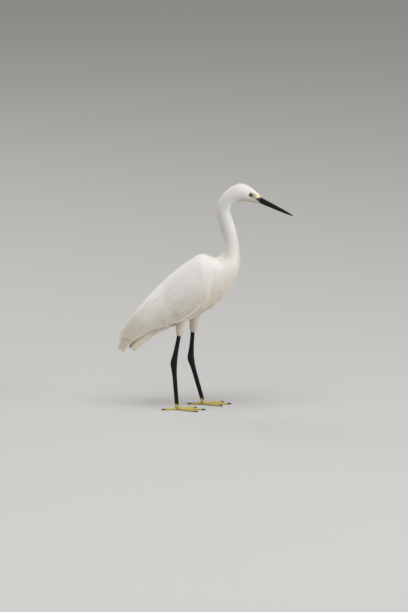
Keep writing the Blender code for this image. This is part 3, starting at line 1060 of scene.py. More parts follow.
@dataclass(frozen=True)
class HornFinish:
    """Black horn with a satin gloss, with brown streaks in the fine grain of its growth."""

    name: str
    black: Triple = (0.003, 0.003, 0.0035)
    brown: Triple = (0.015, 0.012, 0.011)
    roughness: float = 0.27
    specular: float = 0.22
    grain: float = 0.06

    def build(self) -> Material:
        """Makes the material.

        Returns:
            The material.
        """
        shading = Shading(self.name, Specular_IOR_Level=self.specular)
        x, y, z = shading.place()
        drop = (x * 0.43 + z * 0.9) * 1.4
        grain = shading.noise(shading.vector(x * 0.12, y * 1.4, drop), 1.1, 4)
        colour = shading.mix(grain.ramp(0.45, 0.75) * 0.8, self.black, self.brown)
        shading.feed("Base_Color", colour)
        shading.feed("Roughness", grain * 0.25 + (self.roughness - 0.1))
        shading.bump(grain, self.grain)
        return shading.material


@dataclass(frozen=True)
class ScuteFinish:
    """Scaly skin with patches of wear; a leg's turns to the foot's colour at its end."""

    name: str
    skin: Triple
    # On legs and feet this colour is only the patches' wear, with no shade.
    worn: Triple
    roughness: float
    specular: float = 0.18
    grain: float = 0.06
    foot: Triple | None = None
    foot_below: Pair = (17.0, 10.0)

    def build(self) -> Material:
        """Makes the material.

        Returns:
            The material.
        """
        shading = Shading(self.name, Specular_IOR_Level=self.specular)
        x, y, z = shading.place()
        where = shading.vector(x, y, z)
        patch, fine = shading.noise(where, 0.12, 3), shading.noise(where, 1.6, 3)
        share = patch.ramp(0.42, 0.68) * 0.6 + fine.ramp(0.45, 0.7) * 0.3
        colour = shading.mix(share, self.skin, self.worn)
        if self.foot:
            low = (z + (patch - 0.5) * 16 + (fine - 0.5) * 8).ramp(*self.foot_below)
            colour = shading.mix(low, colour, self.foot)
        shading.feed("Base_Color", colour)
        shading.feed("Roughness", patch * 0.2 + (self.roughness - 0.1))
        shading.bump(fine, self.grain)
        return shading.material


@dataclass(frozen=True)
class EyeFinish:
    """A pale yellow iris round a black pupil, under a wet cornea."""

    name: str = "pale eye"
    iris: Triple = (0.30, 0.25, 0.08)
    rays: Triple = (0.46, 0.40, 0.17)
    rim: Triple = (0.05, 0.042, 0.02)
    black: Triple = (0.004, 0.004, 0.004)
    pupil: float = 2.9
    pupil_blur: float = 0.12
    edge: float = 3.75
    rim_width: float = 0.7

    def build(self) -> Material:
        """Makes the material.

        Returns:
            The material.
        """
        shading = Shading(
            self.name, Roughness=0.2, Specular_IOR_Level=0.0, Coat_Weight=1.0, Coat_Roughness=0.02
        )
        x, _, z = shading.place()
        across, up = x - Eye.axis_x, z - Eye.centre[2]
        reach = (across**2 + up**2).math("SQRT")
        turn = up.math("ARCTAN2", across)
        rays = shading.noise(shading.vector(turn * 5, reach * 0.3, 0.0), 2.0, 3)
        iris = shading.mix(rays.ramp(0.35, 0.7), self.iris, self.rays)
        iris = shading.mix(reach.ramp(self.edge - self.rim_width, self.edge), iris, self.rim)
        pupil = reach.ramp(self.pupil + self.pupil_blur, self.pupil - self.pupil_blur)
        shading.feed("Base_Color", shading.mix(pupil, iris, self.black))
        return shading.material


@dataclass(frozen=True)
class FloorFinish:
    """A plain, pale, matt floor."""

    name: str = "pale floor"
    colour: Triple = (0.43, 0.435, 0.44)

    def build(self) -> Material:
        """Makes the material."""
        return Shading(self.name, Base_Color=self.colour, Roughness=0.85).material


# Flesh


@dataclass(frozen=True)
class Skin:
    """The skin of head, neck, trunk and thighs, which lies under the coat."""

    end: float = 515.0
    crowding: float = 1.15
    tail_depth: float = 3.2
    columns: int = 120
    rows: int = 300
    depth_places: Row = (0.0, 25.0, 60.0, 125.0, 226.0, 300.0, 424.0, 470.0)
    depths: Row = (0.2, 0.3, 0.4, 0.5, 0.8, 1.2, 1.2, 1.2)
    horn_depth: float = 0.6
    horn_deepens: Pair = (109.0, 119.0)
    mouth_depth: float = 0.4
    mouth_width: float = 0.55
    end_depth: float = 0.9
    end_round: float = 5.0

    def depth(self, along: Array, around: Array) -> Array:
        """How deep the skin lies, which is nothing where the face is bare.

        Args:
            along: Distances along the body.
            around: Angles round it.

        Returns:
            The depths.
        """
        flat = on_trunk(along, around, 0.0)
        x, z = flat[..., 0], flat[..., 2]
        upper, lower = FACE.lores(x, z)
        eye = eased(np.hypot(x - FACE.eye[0], z - FACE.eye[1]), FACE.ring + 3.0, FACE.ring - 0.5)
        lores = eased(upper, 1.6, -0.4) * eased(lower, -1.6, 0.2) * eased(x, 96.0, 99.0)
        bare = np.maximum(eye, lores)
        mouth = np.exp(-((lower / self.mouth_width) ** 2)) * eased(x, 98.0, 102.0)
        mouth = mouth * eased(np.abs(np.sin(around)), 0.5, 0.8)
        top, bottom = FACE.horn(x, z)
        horn = eased(top, 0.3, -0.5) * eased(bottom, -0.3, 0.5) * (x > FACE.gape[0])
        deep = np.interp(along, self.depth_places, self.depths)
        deep = deep + self.tail_depth * eased(along, AT["tail_root"], self.end)
        rounded = self.end_depth * eased(along, self.end_round, 0.0) * np.abs(np.sin(around))
        sunk = self.horn_depth * horn * eased(x, *self.horn_deepens) + self.mouth_depth * mouth
        return deep * (1 - bare) * (1 - horn) + sunk + rounded

    def place(self, around: Array, share: Array) -> Array:
        """Points on the skin.

        Args:
            around: Shares of the way round it.
            share: Shares of the way along it.

        Returns:
            The points, in millimetres.
        """
        along, turn = self.end * share**self.crowding, math.tau * around
        return on_trunk(along, turn, -self.depth(along, turn))

    def build(self, finish: Material) -> Object:
        """Makes the skin in one piece.

        Args:
            finish: The skin's material.

        Returns:
            The piece.
        """
        skin = as_object(wrapped(self.columns, self.rows, self.place), "skin", finish)
        united(skin, [Thigh(side).core(finish) for side in Side])
        necks = ("neck_upper", "neck_middle", "neck_lower")
        return shown(skin, "plumage", "head", *necks, "torso", "thigh_right", "thigh_left")


@dataclass(frozen=True)
class LegLine:
    """Where one leg runs, seen from the side: x and z of its named points."""

    hip: Pair
    feathers_end: Pair
    hock: Pair
    foot: float


LEG_LINES = {
    Side.RIGHT: LegLine((-51.0, 212.0), (-58.5, 166.5), (-70.5, 103.5), -63.1),
    Side.LEFT: LegLine((-22.0, 216.0), (-28.5, 166.5), (-33.2, 106.0), -6.2),
}
HIP_SPREAD, FEATHER_SPREAD, HOCK_SPREAD, FOOT_SPREAD = 16.0, 20.0, 23.0, 26.0
FOOT_JOINT_HEIGHT = 8.0
LEFTWARDS, UPWARDS = np.array([0.0, 1.0, 0.0]), np.array([0.0, 0.0, 1.0])


def leg_points(side: Side) -> list[Array]:
    """The named points of a leg in space: hip, end of the feathers, hock and foot joint.

    Args:
        side: The leg's side.

    Returns:
        The four points.
    """
    line = LEG_LINES[side]
    places = (line.hip, line.feathers_end, line.hock, (line.foot, FOOT_JOINT_HEIGHT))
    spreads = (HIP_SPREAD, FEATHER_SPREAD, HOCK_SPREAD, FOOT_SPREAD)
    return [np.array([x, side.value * spread, z]) for (x, z), spread in zip(places, spreads)]


def along_line(points: Array, share: Array) -> Array:
    """Points on a chain of straight lines.

    Args:
        points: The chain's points.
        share: Shares of the way along it.

    Returns:
        The points there.
    """
    run = distances(points)
    return np.stack([np.interp(share, run / run[-1], points[:, axis]) for axis in range(3)], -1)


@dataclass(frozen=True)
class Tube:
    """A limb that follows a chain of points, often flatter from side to side."""

    points: Array
    shares: Row
    radii: Row
    side_share: float = 1.0
    probe: float = 0.02

    def length(self) -> float:
        """How long the chain is."""
        return float(distances(self.points)[-1])

    def place(self, along: Array, around: Array, height: Array) -> Array:
        """Points over the limb.

        Args:
            along: Millimetres from its start.
            around: Angles round it, from its front, to the left.
            height: Heights over it.

        Returns:
            The points, in millimetres.
        """
        along, around, height = np.broadcast_arrays(along, around, height)
        share = along / self.length()
        centre = along_line(self.points, np.clip(share, 0, 1))
        near = np.clip(share, self.probe, 1 - self.probe)
        ends = (along_line(self.points, near + way * self.probe) for way in (1, -1))
        ahead = np.subtract(*ends)
        ahead = ahead / np.linalg.norm(ahead, axis=-1, keepdims=True)
        centre = centre + ahead * (share - np.clip(share, 0, 1))[..., None] * self.length()
        sideways = LEFTWARDS - ahead * (ahead @ LEFTWARDS)[..., None]
        sideways = sideways / np.linalg.norm(sideways, axis=-1, keepdims=True)
        front = np.cross(ahead, sideways)
        front = front * np.where(front[..., :1] < 0, -1, 1)
        radius = np.interp(share, self.shares, self.radii) + height
        return (
            centre
            + front * (radius * np.cos(around))[..., None]
            + sideways * (radius * self.side_share * np.sin(around))[..., None]
        )


@dataclass(frozen=True)
class Thigh:
    """A feathered thigh, like short breeches round the top of the shank."""

    side: Side
    depth: float = 1.8
    thinning: float = 0.6
    short: float = 2.0
    above: float = 14.0
    shares: Row = (0.0, 0.23, 0.32, 0.42, 0.61, 0.81, 0.94, 1.0)
    radii: Row = (18.0, 16.5, 14.4, 12.4, 10.4, 9.0, 7.0, 5.4)
    side_share: float = 0.66

    def tube(self) -> Tube:
        """Lays out the thigh's plumage.

        Returns:
            Its surface.
        """
        hip, line, _, _ = leg_points(self.side)
        up = (hip - line) / np.linalg.norm(hip - line)
        points = np.array([hip + up * self.above, line])
        return Tube(points, self.shares, self.radii, self.side_share)

    def core(self, finish: Material) -> Object:
        """Makes the flesh of the thigh, to be joined to the skin.

        Args:
            finish: Its material.

        Returns:
            The piece.
        """
        return as_object(wrapped(32, 20, self.place), "thigh", finish)

    def place(self, around: Array, share: Array) -> Array:
        """Points on the thigh's flesh.

        Args:
            around: Shares of the way round it.
            share: Shares of the way down it.

        Returns:
            The points, in millimetres.
        """
        tube = self.tube()
        depth = self.depth * (1 - self.thinning * share)
        return tube.place((tube.length() - self.short) * share, math.tau * around, -depth)


# Small feathers


@dataclass(frozen=True)
class Growth:
    """How the feathers grow at one place along a surface, in millimetres."""

    along: float
    row: float
    column: float
    length: float
    width: float
    depth: float


RING_POINTS = 181
COLUMN_STRAY, ROW_STRAY = 0.3, 0.45
LENGTH_CHANCE, WIDTH_CHANCE = (0.85, 1.15), (0.85, 1.2)
TIP_CHANCE, LAP_CHANCE = (-0.05, 0.12), (-0.07, 0.07)
PROBES = ((0.5, 0.0), (0.0, 0.02))


def sown(
    growths: tuple[Growth, ...], start: float, end: float, place: Place,
    random: np.random.Generator, fan: float = 0.12,
) -> tuple[Plumes, Array]:
    """Sets feathers in staggered rows round a surface, evenly by distance, with some chance.

    Args:
        growths: How they grow, in order along the surface.
        start: Where the first row is.
        end: Where the last row may be.
        place: The surface.
        random: The source of chance.
        fan: How much the feathers' directions differ, in radians.

    Returns:
        The feathers, and their roots in space.
    """
    table = np.array([astuple(growth) for growth in growths]).T
    roots, looks = [], []
    along, stagger = start, 0.0
    around = np.linspace(-math.pi, math.pi, RING_POINTS)
    while along < end:
        row, column, *look = (np.interp(along, table[0], values) for values in table[1:])
        run = distances(place(along, around, 0.0))
        count = max(4, round(run[-1] / column))
        stray = random.uniform(-COLUMN_STRAY, COLUMN_STRAY, count)
        spots = (np.arange(count) + stagger + stray) % count
        angle = np.interp(spots / count * run[-1], run, around)
        stray = random.uniform(-ROW_STRAY, ROW_STRAY, count)
        roots.append(np.stack([along + stray * row, angle], -1))
        looks.append(np.tile(look, (count, 1)))
        along += row
        stagger = 0.5 - stagger
    root = np.concatenate(roots)
    length, width, depth = np.concatenate(looks).T
    total = len(root)
    here = place(*root.T, 0.0)
    ahead, aside = (
        np.linalg.norm(place(*(root + shift).T, 0.0) - here, axis=-1) / sum(shift)
        for shift in PROBES
    )
    length = length * random.uniform(*LENGTH_CHANCE, total)
    heading = random.normal(0, fan, total)
    run = [length * np.cos(heading) / np.maximum(ahead, 0.45), length * np.sin(heading) / aside]
    plumes = Plumes(
        root=root,
        tip=root + np.stack(run, -1),
        width=width * random.uniform(*WIDTH_CHANCE, total),
        root_height=-depth,
        tip_height=random.uniform(*TIP_CHANCE, total),
        lap=random.uniform(*LAP_CHANCE, total) * np.minimum(1.0, width / 4),
        rise=0.7,
    )
    return plumes, here


HAIR = Cut(5, 3, (0, 0.15, 0.5, 0.8, 1), (0.5, 0.9, 1.0, 0.6, 0.06), 0.08, camber=0.05)
SOFT = Cut(
    9, 5, (0, 0.12, 0.4, 0.7, 0.88, 1), (0.45, 0.8, 1.0, 0.85, 0.5, 0.07), 0.1,
    camber=0.14, shaft=0.04, sweep=0.12, fray=0.12,
)
DOWNY = replace(SOFT, rows=10, shaft=0.03, sweep=0.1, fray=0.05)
PLUME = Cut(
    16, 3, (0, 0.2, 0.6, 0.85, 1), (0.5, 1, 0.9, 0.5, 0.05), 0.22,
    camber=0.2, sweep=0.05, fray=0.1,
)
LONG = Cut(
    36, 9, (0, 0.1, 0.35, 0.75, 0.9, 0.96, 0.988, 1), (0.35, 0.7, 0.95, 1.0, 0.9, 0.68, 0.38, 0.14),
    0.26, camber=0.35, shaft=0.16, sweep=0.03, fray=0.02,
)
COVERT = Cut(
    18, 7, (0, 0.12, 0.4, 0.72, 0.9, 0.97, 1), (0.4, 0.75, 1.0, 0.98, 0.74, 0.42, 0.12), 0.24,
    camber=0.4, shaft=0.12, sweep=0.06, fray=0.05,
)
LANCE = Cut(
    26, 7, (0, 0.1, 0.35, 0.65, 0.85, 1), (0.4, 0.75, 1.0, 0.82, 0.45, 0.04), 0.24,
    camber=0.35, shaft=0.12, sweep=0.08, fray=0.06,
)
BODY_SPAN = (544.0, math.tau)
WING_SPAN = (1.2, 1.2)
THIGH_SPAN = (60.0, math.tau)


@dataclass(frozen=True)
class BodyPlumage:
    """The small feathers of head, neck and trunk."""

    growths: tuple[Growth, ...] = (
        Growth(0.0, 0.8, 0.8, 3.0, 1.1, 0.12),
        Growth(12.0, 0.9, 0.85, 4.2, 1.3, 0.2),
        Growth(25.0, 1.05, 0.95, 5.5, 1.5, 0.28),
        Growth(44.0, 1.25, 1.05, 7.0, 1.8, 0.35),
        Growth(74.0, 1.5, 1.2, 9.5, 2.1, 0.42),
        Growth(125.0, 1.8, 1.4, 13.0, 2.6, 0.5),
        Growth(191.0, 2.3, 1.8, 18.0, 3.5, 0.65),
        Growth(226.0, 2.9, 2.3, 23.0, 5.0, 0.85),
        Growth(259.0, 3.9, 3.1, 29.0, 7.0, 1.1),
        Growth(298.0, 4.7, 3.8, 33.0, 8.6, 1.2),
        Growth(424.0, 5.0, 4.0, 34.0, 8.8, 1.2),
        Growth(470.0, 5.0, 4.0, 36.0, 8.8, 1.2),
    )
    coats: tuple[tuple[str, float, float, Cut], ...] = (
        ("coat_head", 0.0, 60.0, HAIR),
        ("coat_neck_upper", 60.0, 150.0, HAIR),
        ("coat_neck_lower", 150.0, 226.0, HAIR),
        ("coat_breast", 226.0, 300.0, SOFT),
        ("coat_trunk", 300.0, 452.0, SOFT),
    )
    eye_overlap: float = 0.4
    mantle: tuple[Pair, Pair] = ((0.34, 0.42), (0.11, 1.05))
    mantle_end: float = 370.0
    rump_angle: float = 1.1
    wing_front: float = 0.02
    wing_low: float = 0.9

    def off_face(self, plumes: Plumes, roots: Array) -> Array:
        """Finds the feathers that grow beside the bare face and stay clear of the eye.

        Args:
            plumes: The feathers.
            roots: Their roots in space.

        Returns:
            Whether each one is such a feather.
        """
        keep = ~FACE.bare(*roots.T)
        for share in (0.4, 0.7, 1.0):
            reach = plumes.root + (plumes.tip - plumes.root) * share
            x, _, z = on_trunk(*reach.T, 0.0).T
            keep &= np.hypot(x - FACE.eye[0], z - FACE.eye[1]) > FACE.ring - self.eye_overlap
        return keep

    def off_wings(self, plumes: Plumes) -> Array:
        """Finds the feathers that grow beside the wings, or on the mantle between them.

        Args:
            plumes: The feathers.

        Returns:
            Whether each one is such a feather.
        """
        along, around = plumes.root.T
        share, across = WING.find(along, around)
        inner, outer = (across < width * (1 - share / length) for width, length in self.mantle)
        mantle = (inner | outer) & (along < self.mantle_end)
        behind = (along > RUMP_BLEND[0]) & (np.abs(around) > self.rump_angle)
        return (share < self.wing_front) | (across > self.wing_low) | mantle | behind

    def build(self, finish: Material) -> None:
        """Makes the coats of head, neck, breast and trunk.

        Args:
            finish: The plumage's material.
        """
        for name, start, end, cut in self.coats:
            coat = Coat(name, finish, BODY_SPAN)
            plumes, roots = sown(self.growths, start, end, on_trunk, coat.random)
            keep = self.off_wings(plumes)
            if name == "coat_head":
                keep &= self.off_face(plumes, roots)
            coat.lay(plumes.chosen(keep), cut, on_trunk, lift=OVERLAP.height)
            shown(coat.finished(), "plumage")


@dataclass(frozen=True)
class BreastPlumes:
    """The few long narrow plumes that hang from the lower neck over the breast."""

    count: int = 40
    roots: Pair = (236.0, 292.0)
    spread: Pair = (2.15, 3.1)
    drift: Pair = (-0.15, 0.05)
    length: Pair = (36.0, 58.0)
    width: float = 4.0
    sunk: float = 0.6
    stand_off: Pair = (0.2, 1.9)
    hangs_from: Pair = (2.3, 2.9)

    def build(self, finish: Material) -> None:
        """Makes the plumes.

        Args:
            finish: The plumage's material.
        """
        coat = Coat("breast_plumes", finish, BODY_SPAN)
        draw = partial(coat.random.uniform, size=self.count)
        close, clear = self.stand_off
        for sign in (1, -1):
            root = np.stack([draw(*self.roots), sign * draw(*self.spread)], -1)
            tip = root + np.stack([draw(*self.length), sign * draw(*self.drift)], -1)
            low = eased(np.abs(root[:, 1]), *self.hangs_from)
            height = close + (clear - close) * low * draw(0.2, 1.0)
            width = self.width * draw(0.7, 1.3)
            plumes = Plumes(root, tip, width, -self.sunk, height, 0.0, rise=1.5)
            coat.lay(plumes, PLUME, on_trunk, lift=OVERLAP.height)
        shown(coat.finished(), "plumage")


@dataclass(frozen=True)
class ThighPlumage:
    """The soft feathers of a thigh, whose hem hangs over the bare shank."""

    growths: tuple[Growth, ...] = (
        Growth(14.0, 3.0, 2.2, 16.0, 3.8, 1.6),
        Growth(40.0, 2.2, 1.7, 12.0, 2.9, 1.2),
        Growth(52.0, 1.4, 1.1, 8.5, 1.7, 0.8),
        Growth(58.0, 1.1, 0.9, 7.5, 1.1, 0.6),
    )
    start: float = 12.0
    hem: float = 6.0
    fan: float = 0.14

    def build(self, finish: Material) -> None:
        """Makes the coats of both thighs.

        Args:
            finish: The plumage's material.
        """
        for side in Side:
            tube = Thigh(side).tube()
            end = tube.length() - self.hem
            coat = Coat(f"coat_thigh_{side.word}", finish, THIGH_SPAN)
            plumes, _ = sown(self.growths, self.start, end, tube.place, coat.random, self.fan)
            coat.lay(plumes, SOFT, tube.place)
            shown(coat.finished(), "plumage")


# Wings and tail


@dataclass(frozen=True)
class Lay:
    """How the feathers of a tier lie on the wing: of the first, on top, and of the last, below."""

    cut: Cut
    count: int
    across: Pair
    root: Pair
    tip: Pair
    width: float
    heights: Pair
    lap: float
    narrowing: float
    stray: float = 0.012


class Tier(Enum):
    """The rows of a wing's feathers, from the lowest to the one on top."""

    PRIMARIES = Lay(
        LONG, 10, (0.46, 1.02), (0.66, 0.64), (1.01, 0.965), 12.0, (1.0, 1.4), 0.9, 0.42
    )
    SECONDARIES = Lay(
        LONG, 18, (0.04, 0.965), (0.34, 0.32), (0.985, 0.845), 13.5, (1.5, 3.0), 0.9, 0.42
    )
    GREATER_COVERTS = Lay(
        COVERT, 15, (0.30, 0.972), (0.16, 0.14), (0.61, 0.50), 13.0, (2.0, 3.2), 0.7, 0.35, 0.045
    )
    MEDIAN_COVERTS = Lay(
        COVERT, 15, (0.28, 0.968), (0.06, 0.05), (0.41, 0.34), 12.5, (2.5, 3.6), 0.6, 0.2, 0.025
    )
    TERTIALS = Lay(
        LONG, 5, (0.005, 0.15), (0.30, 0.32), (0.93, 0.96), 13.0, (2.9, 3.45), 0.5, 0.4, 0.02
    )
    SCAPULARS = Lay(
        LANCE, 12, (0.05, 0.36), (0.06, 0.05), (0.78, 0.50), 11.5, (2.8, 3.65), 0.6, 0.35, 0.05
    )


@dataclass(frozen=True)
class Wing:
    """A folded wing: the flesh and bone in front, and its feathers in tiers over one another."""

    side: Side
    core_shares: Row = (0.0, 0.05, 0.15, 0.35, 0.62)
    core_heights: Row = (0.9, 2.6, 2.4, 1.8, 1.3)
    core_across: Pair = (0.01, 0.96)
    core_crowding: float = 1.3
    inner: float = 0.8
    thinnest: float = 0.05
    crossing: float = 0.45
    off_back: float = 0.07
    sway: float = 0.006
    lesser_rows: Triple = (-0.035, 0.30, 0.0165)
    lesser_count: int = 30
    lesser_across: Pair = (0.02, 0.95)
    lesser_width: float = 6.6
    lesser_reach: float = 0.085
    lesser_growth: float = 0.12
    lesser_sunk: float = 1.1

    def place(self, around: Array, share: Array) -> Array:
        """Points on the wing's flesh.

        Args:
            around: Shares of the way round it, the outer face first.
            share: Shares of the way along it.

        Returns:
            The points, in millimetres.
        """
        outer = np.sin(math.tau * around) > -1e-9
        across = np.where(around <= 0.5, around * 2, 2 - around * 2)
        along = share**self.core_crowding * self.core_shares[-1]
        height = np.interp(along, self.core_shares, self.core_heights)
        rim = np.sqrt(np.clip(1 - (2 * across - 1) ** 8, 0, 1))
        low = self.inner + self.thinnest
        level = np.where(outer, low + (height - low) * rim, self.inner)
        across = self.core_across[0] + across * self.core_across[1]
        return mirrored(WING.place(along, across, level), self.side)

    def lie(self, coat: Coat, tier: Tier) -> None:
        """Adds the feathers of one tier.

        Args:
            coat: The wing's coat.
            tier: The tier.
        """
        lay, random = tier.value, coat.random
        step = np.linspace(0, 1, lay.count)
        across, root, tip = (a + (b - a) * step for a, b in (lay.across, lay.root, lay.tip))
        tip = tip + random.uniform(-1, 1, lay.count) * lay.stray
        crossing = self.crossing if tier is Tier.TERTIALS and self.side is Side.LEFT else 0.0
        ends = np.maximum(across + random.normal(0, self.sway, lay.count), self.off_back)
        plumes = Plumes(
            root=np.stack([root, across], -1),
            tip=np.stack([tip, ends], -1),
            width=lay.width * random.uniform(0.94, 1.06, lay.count),
            root_height=lay.heights[0],
            tip_height=lay.heights[1] + random.uniform(-0.1, 0.1, lay.count) + crossing,
            lap=lay.lap,
            rise=0.5,
            narrowing=lay.narrowing,
        )
        coat.lay(plumes, lay.cut, WING.place, self.side)

    def lesser_coverts(self, coat: Coat) -> None:
        """Adds the small feathers over the front of the wing.

        Args:
            coat: The wing's coat.
        """
        count = self.lesser_count
        draw = partial(coat.random.uniform, size=count)
        first, spread = self.lesser_across
        for number, along in enumerate(np.arange(*self.lesser_rows)):
            across = (np.arange(count) + 0.5 * (number % 2) + draw(-0.3, 0.3)) / count
            root = np.stack([along + draw(-0.008, 0.008), first + across * spread], -1)
            reach = self.lesser_reach + self.lesser_growth * (along - self.lesser_rows[0])
            drift = [reach * draw(0.8, 1.2), coat.random.normal(0, 0.012, count)]
            tip = root + np.stack(drift, -1)
            plumes = Plumes(
                root, tip, self.lesser_width * draw(0.85, 1.15),
                WING.level(root[:, 0]) - self.lesser_sunk,
                WING.level(tip[:, 0]) + draw(-0.05, 0.12), draw(-0.1, 0.1), rise=0.7,
            )
            coat.lay(plumes, DOWNY, WING.place, self.side)

    def build(self, plumage: Material, skin: Material) -> None:
        """Makes the wing's pieces.

        Args:
            plumage: The feathers' material.
            skin: The skin's material.
        """
        name = f"wing_{self.side.word}"
        flesh = wrapped(64, 40, self.place)
        shown(as_object(flesh, f"wing_flesh_{self.side.word}", skin), "plumage")
        coat = Coat(f"{name}_feathers", plumage, WING_SPAN)
        for tier in Tier:
            self.lie(coat, tier)
        shown(coat.finished(), "plumage", name)
        coat = Coat(f"{name}_lesser_coverts", plumage, WING_SPAN)
        self.lesser_coverts(coat)
        shown(coat.finished(), "plumage")


@dataclass(frozen=True)
class Tail:
    """The closed tail: pairs of feathers, the middle pair on top, and the feathers under them."""

    root: float = 16.0
    tip: float = 1.0
    pairs: int = 6
    first_angle: float = 5.0
    step_angle: float = 17.5
    root_angle_share: float = 0.8
    level: float = 1.7
    level_step: float = 0.25
    sunk: float = 1.6
    width: float = 14.0
    lap: float = 0.9
    under_angles: Row = (112.0, 138.0, 160.0, 178.0)
    under_root: float = -8.0
    under_tip: float = 7.0
    under_width: float = 11.0
    under_levels: Pair = (-1.2, -0.5)
    under_lap: float = 0.5

    def build(self, finish: Material) -> None:
        """Makes the tail.

        Args:
            finish: The plumage's material.
        """
        coat = Coat("tail_feathers", finish, BODY_SPAN)
        order, under = np.arange(self.pairs), np.radians(self.under_angles)
        end = AT["wing_tips"] - self.tip
        for side in (1, -1):
            angle = side * np.radians(self.first_angle + self.step_angle * order)
            level = self.level - self.level_step * order + (self.level_step if side > 0 else 0.0)
            root = [np.full(self.pairs, AT["rump"] + self.root), angle * self.root_angle_share]
            tip = [end - 1.0 * order + coat.random.uniform(-1.5, 1.5, self.pairs), angle]
            plumes = Plumes(
                np.stack(root, -1), np.stack(tip, -1), self.width, level - self.sunk, level,
                side * self.lap, rise=0.5, narrowing=0.1,
            )
            coat.lay(plumes, LONG, TAIL.place)
            root = [np.full(len(under), AT["tail_root"] + self.under_root), side * under]
            tip = [end - self.under_tip + coat.random.uniform(-3.0, 1.0, len(under)), side * under]
            plumes = Plumes(
                np.stack(root, -1), np.stack(tip, -1), self.under_width, *self.under_levels,
                side * self.under_lap, rise=0.7, narrowing=0.2,
            )
            coat.lay(plumes, LONG, TAIL.place)
        shown(coat.finished(), "plumage", "tail")


# Bill and face


@dataclass(frozen=True)
class Bill:
    """The long straight bill, closed, with its nostrils in shallow grooves."""

    length: float = 82.0
    pitch: float = math.radians(25.5)
    depth: float = 13.0
    width: float = 10.6
    upper_share: float = 0.56
    drop: float = 1.0
    taper: float = 0.54
    crowding: float = 1.05
    lips: float = 0.35
    cheek: float = 0.10
    shoulder: float = 0.12
    shoulder_run: float = 4.5
    sunk: float = 1.2
    tip_share: float = 0.012
    nostril: Pair = (15.0, 3.6)
    nostril_size: Pair = (3.6, 0.62)
    nostril_depth: float = 0.9
    groove: Pair = (4.0, 52.0)
    groove_full: Pair = (14.0, 20.0)
    groove_width: float = 0.8
    groove_depth: float = 0.42

    def sink(self, far: Array, rise: Array, taper: Array) -> Array:
        """How deep nostril and groove lie in the side of the upper half.

        Args:
            far: Distances from the bill's root.
            rise: Heights over the line of the mouth.
            taper: How far the bill has thinned there, from 1 at its root.

        Returns:
            The depths.
        """
        slot = ((far - self.nostril[0]) / self.nostril_size[0]) ** 2
        slot = slot + ((rise - self.nostril[1]) / self.nostril_size[1]) ** 2
        channel = eased(far, self.groove[0], self.groove_full[0])
        channel = channel * (1 - eased(far, self.groove_full[1], self.groove[1]))
        off = (rise - self.nostril[1] * taper**0.6) / self.groove_width
        channel = channel * np.exp(-(off**2))
        return self.nostril_depth * np.exp(-(slot**2)) + self.groove_depth * channel

    def place(self, over: int, share: float, around: Array, along: Array) -> Array:
        """Points on one half of the bill.

        Args:
            over: 1 for the upper half and -1 for the lower.
            share: Its share of the depth.
            around: Shares of the way round it.
            along: Shares of the way to its tip.

        Returns:
            The points, in millimetres.
        """
        back, throat = through(DORSAL, np.array(0.0)), through(VENTRAL, np.array(0.0))
        face = np.insert((back + throat) / 2, 1, 0.0)
        lean = back - throat
        away = np.array([lean[1], 0, -lean[0]]) / np.linalg.norm(lean)
        forward = np.array([math.cos(self.pitch), 0, -math.sin(self.pitch)])
        up = np.array([math.sin(self.pitch), 0, math.cos(self.pitch)])
        mouth = face + up * (self.depth * (0.5 - self.upper_share) - self.drop)
        along = along**self.crowding
        far = along * self.length
        taper = np.maximum(1 - along, self.tip_share) ** self.taper
        turn = math.tau * around
        bulge = np.maximum(np.sin(turn), 0)
        rise = bulge**0.92 * self.depth * share * taper
        reach = np.cos(turn) * self.width / 2 * taper
        reach = reach * (1 - self.cheek * bulge * eased(along, 0.0, 0.15))
        shoulder = 1 - self.shoulder * eased(far, self.shoulder_run, 0.0)
        reach, rise = reach * shoulder, rise * shoulder
        if over > 0:
            sunk = np.minimum(self.sink(far, rise, taper), np.abs(reach) * 0.6)
            reach = reach - np.sign(reach) * sunk
        out = mouth + up * (over * (GAP / 2 * self.lips + rise))[..., None]
        out = out + LEFTWARDS * reach[..., None]
        to_face = (-self.sunk - (out - face) @ away) / (forward @ away)
        return out + forward * (far + to_face * (1 - along) ** 2)[..., None]

    def build(self, finish: Material) -> None:
        """Makes both halves.

        Args:
            finish: The horn's material.
        """
        shares = {"bill_upper": (1, self.upper_share), "bill_lower": (-1, 1 - self.upper_share)}
        for name, half in shares.items():
            mesh = wrapped(72, 130, partial(self.place, *half))
            shown(as_object(mesh, f"{name}_horn", finish), "bill", name)


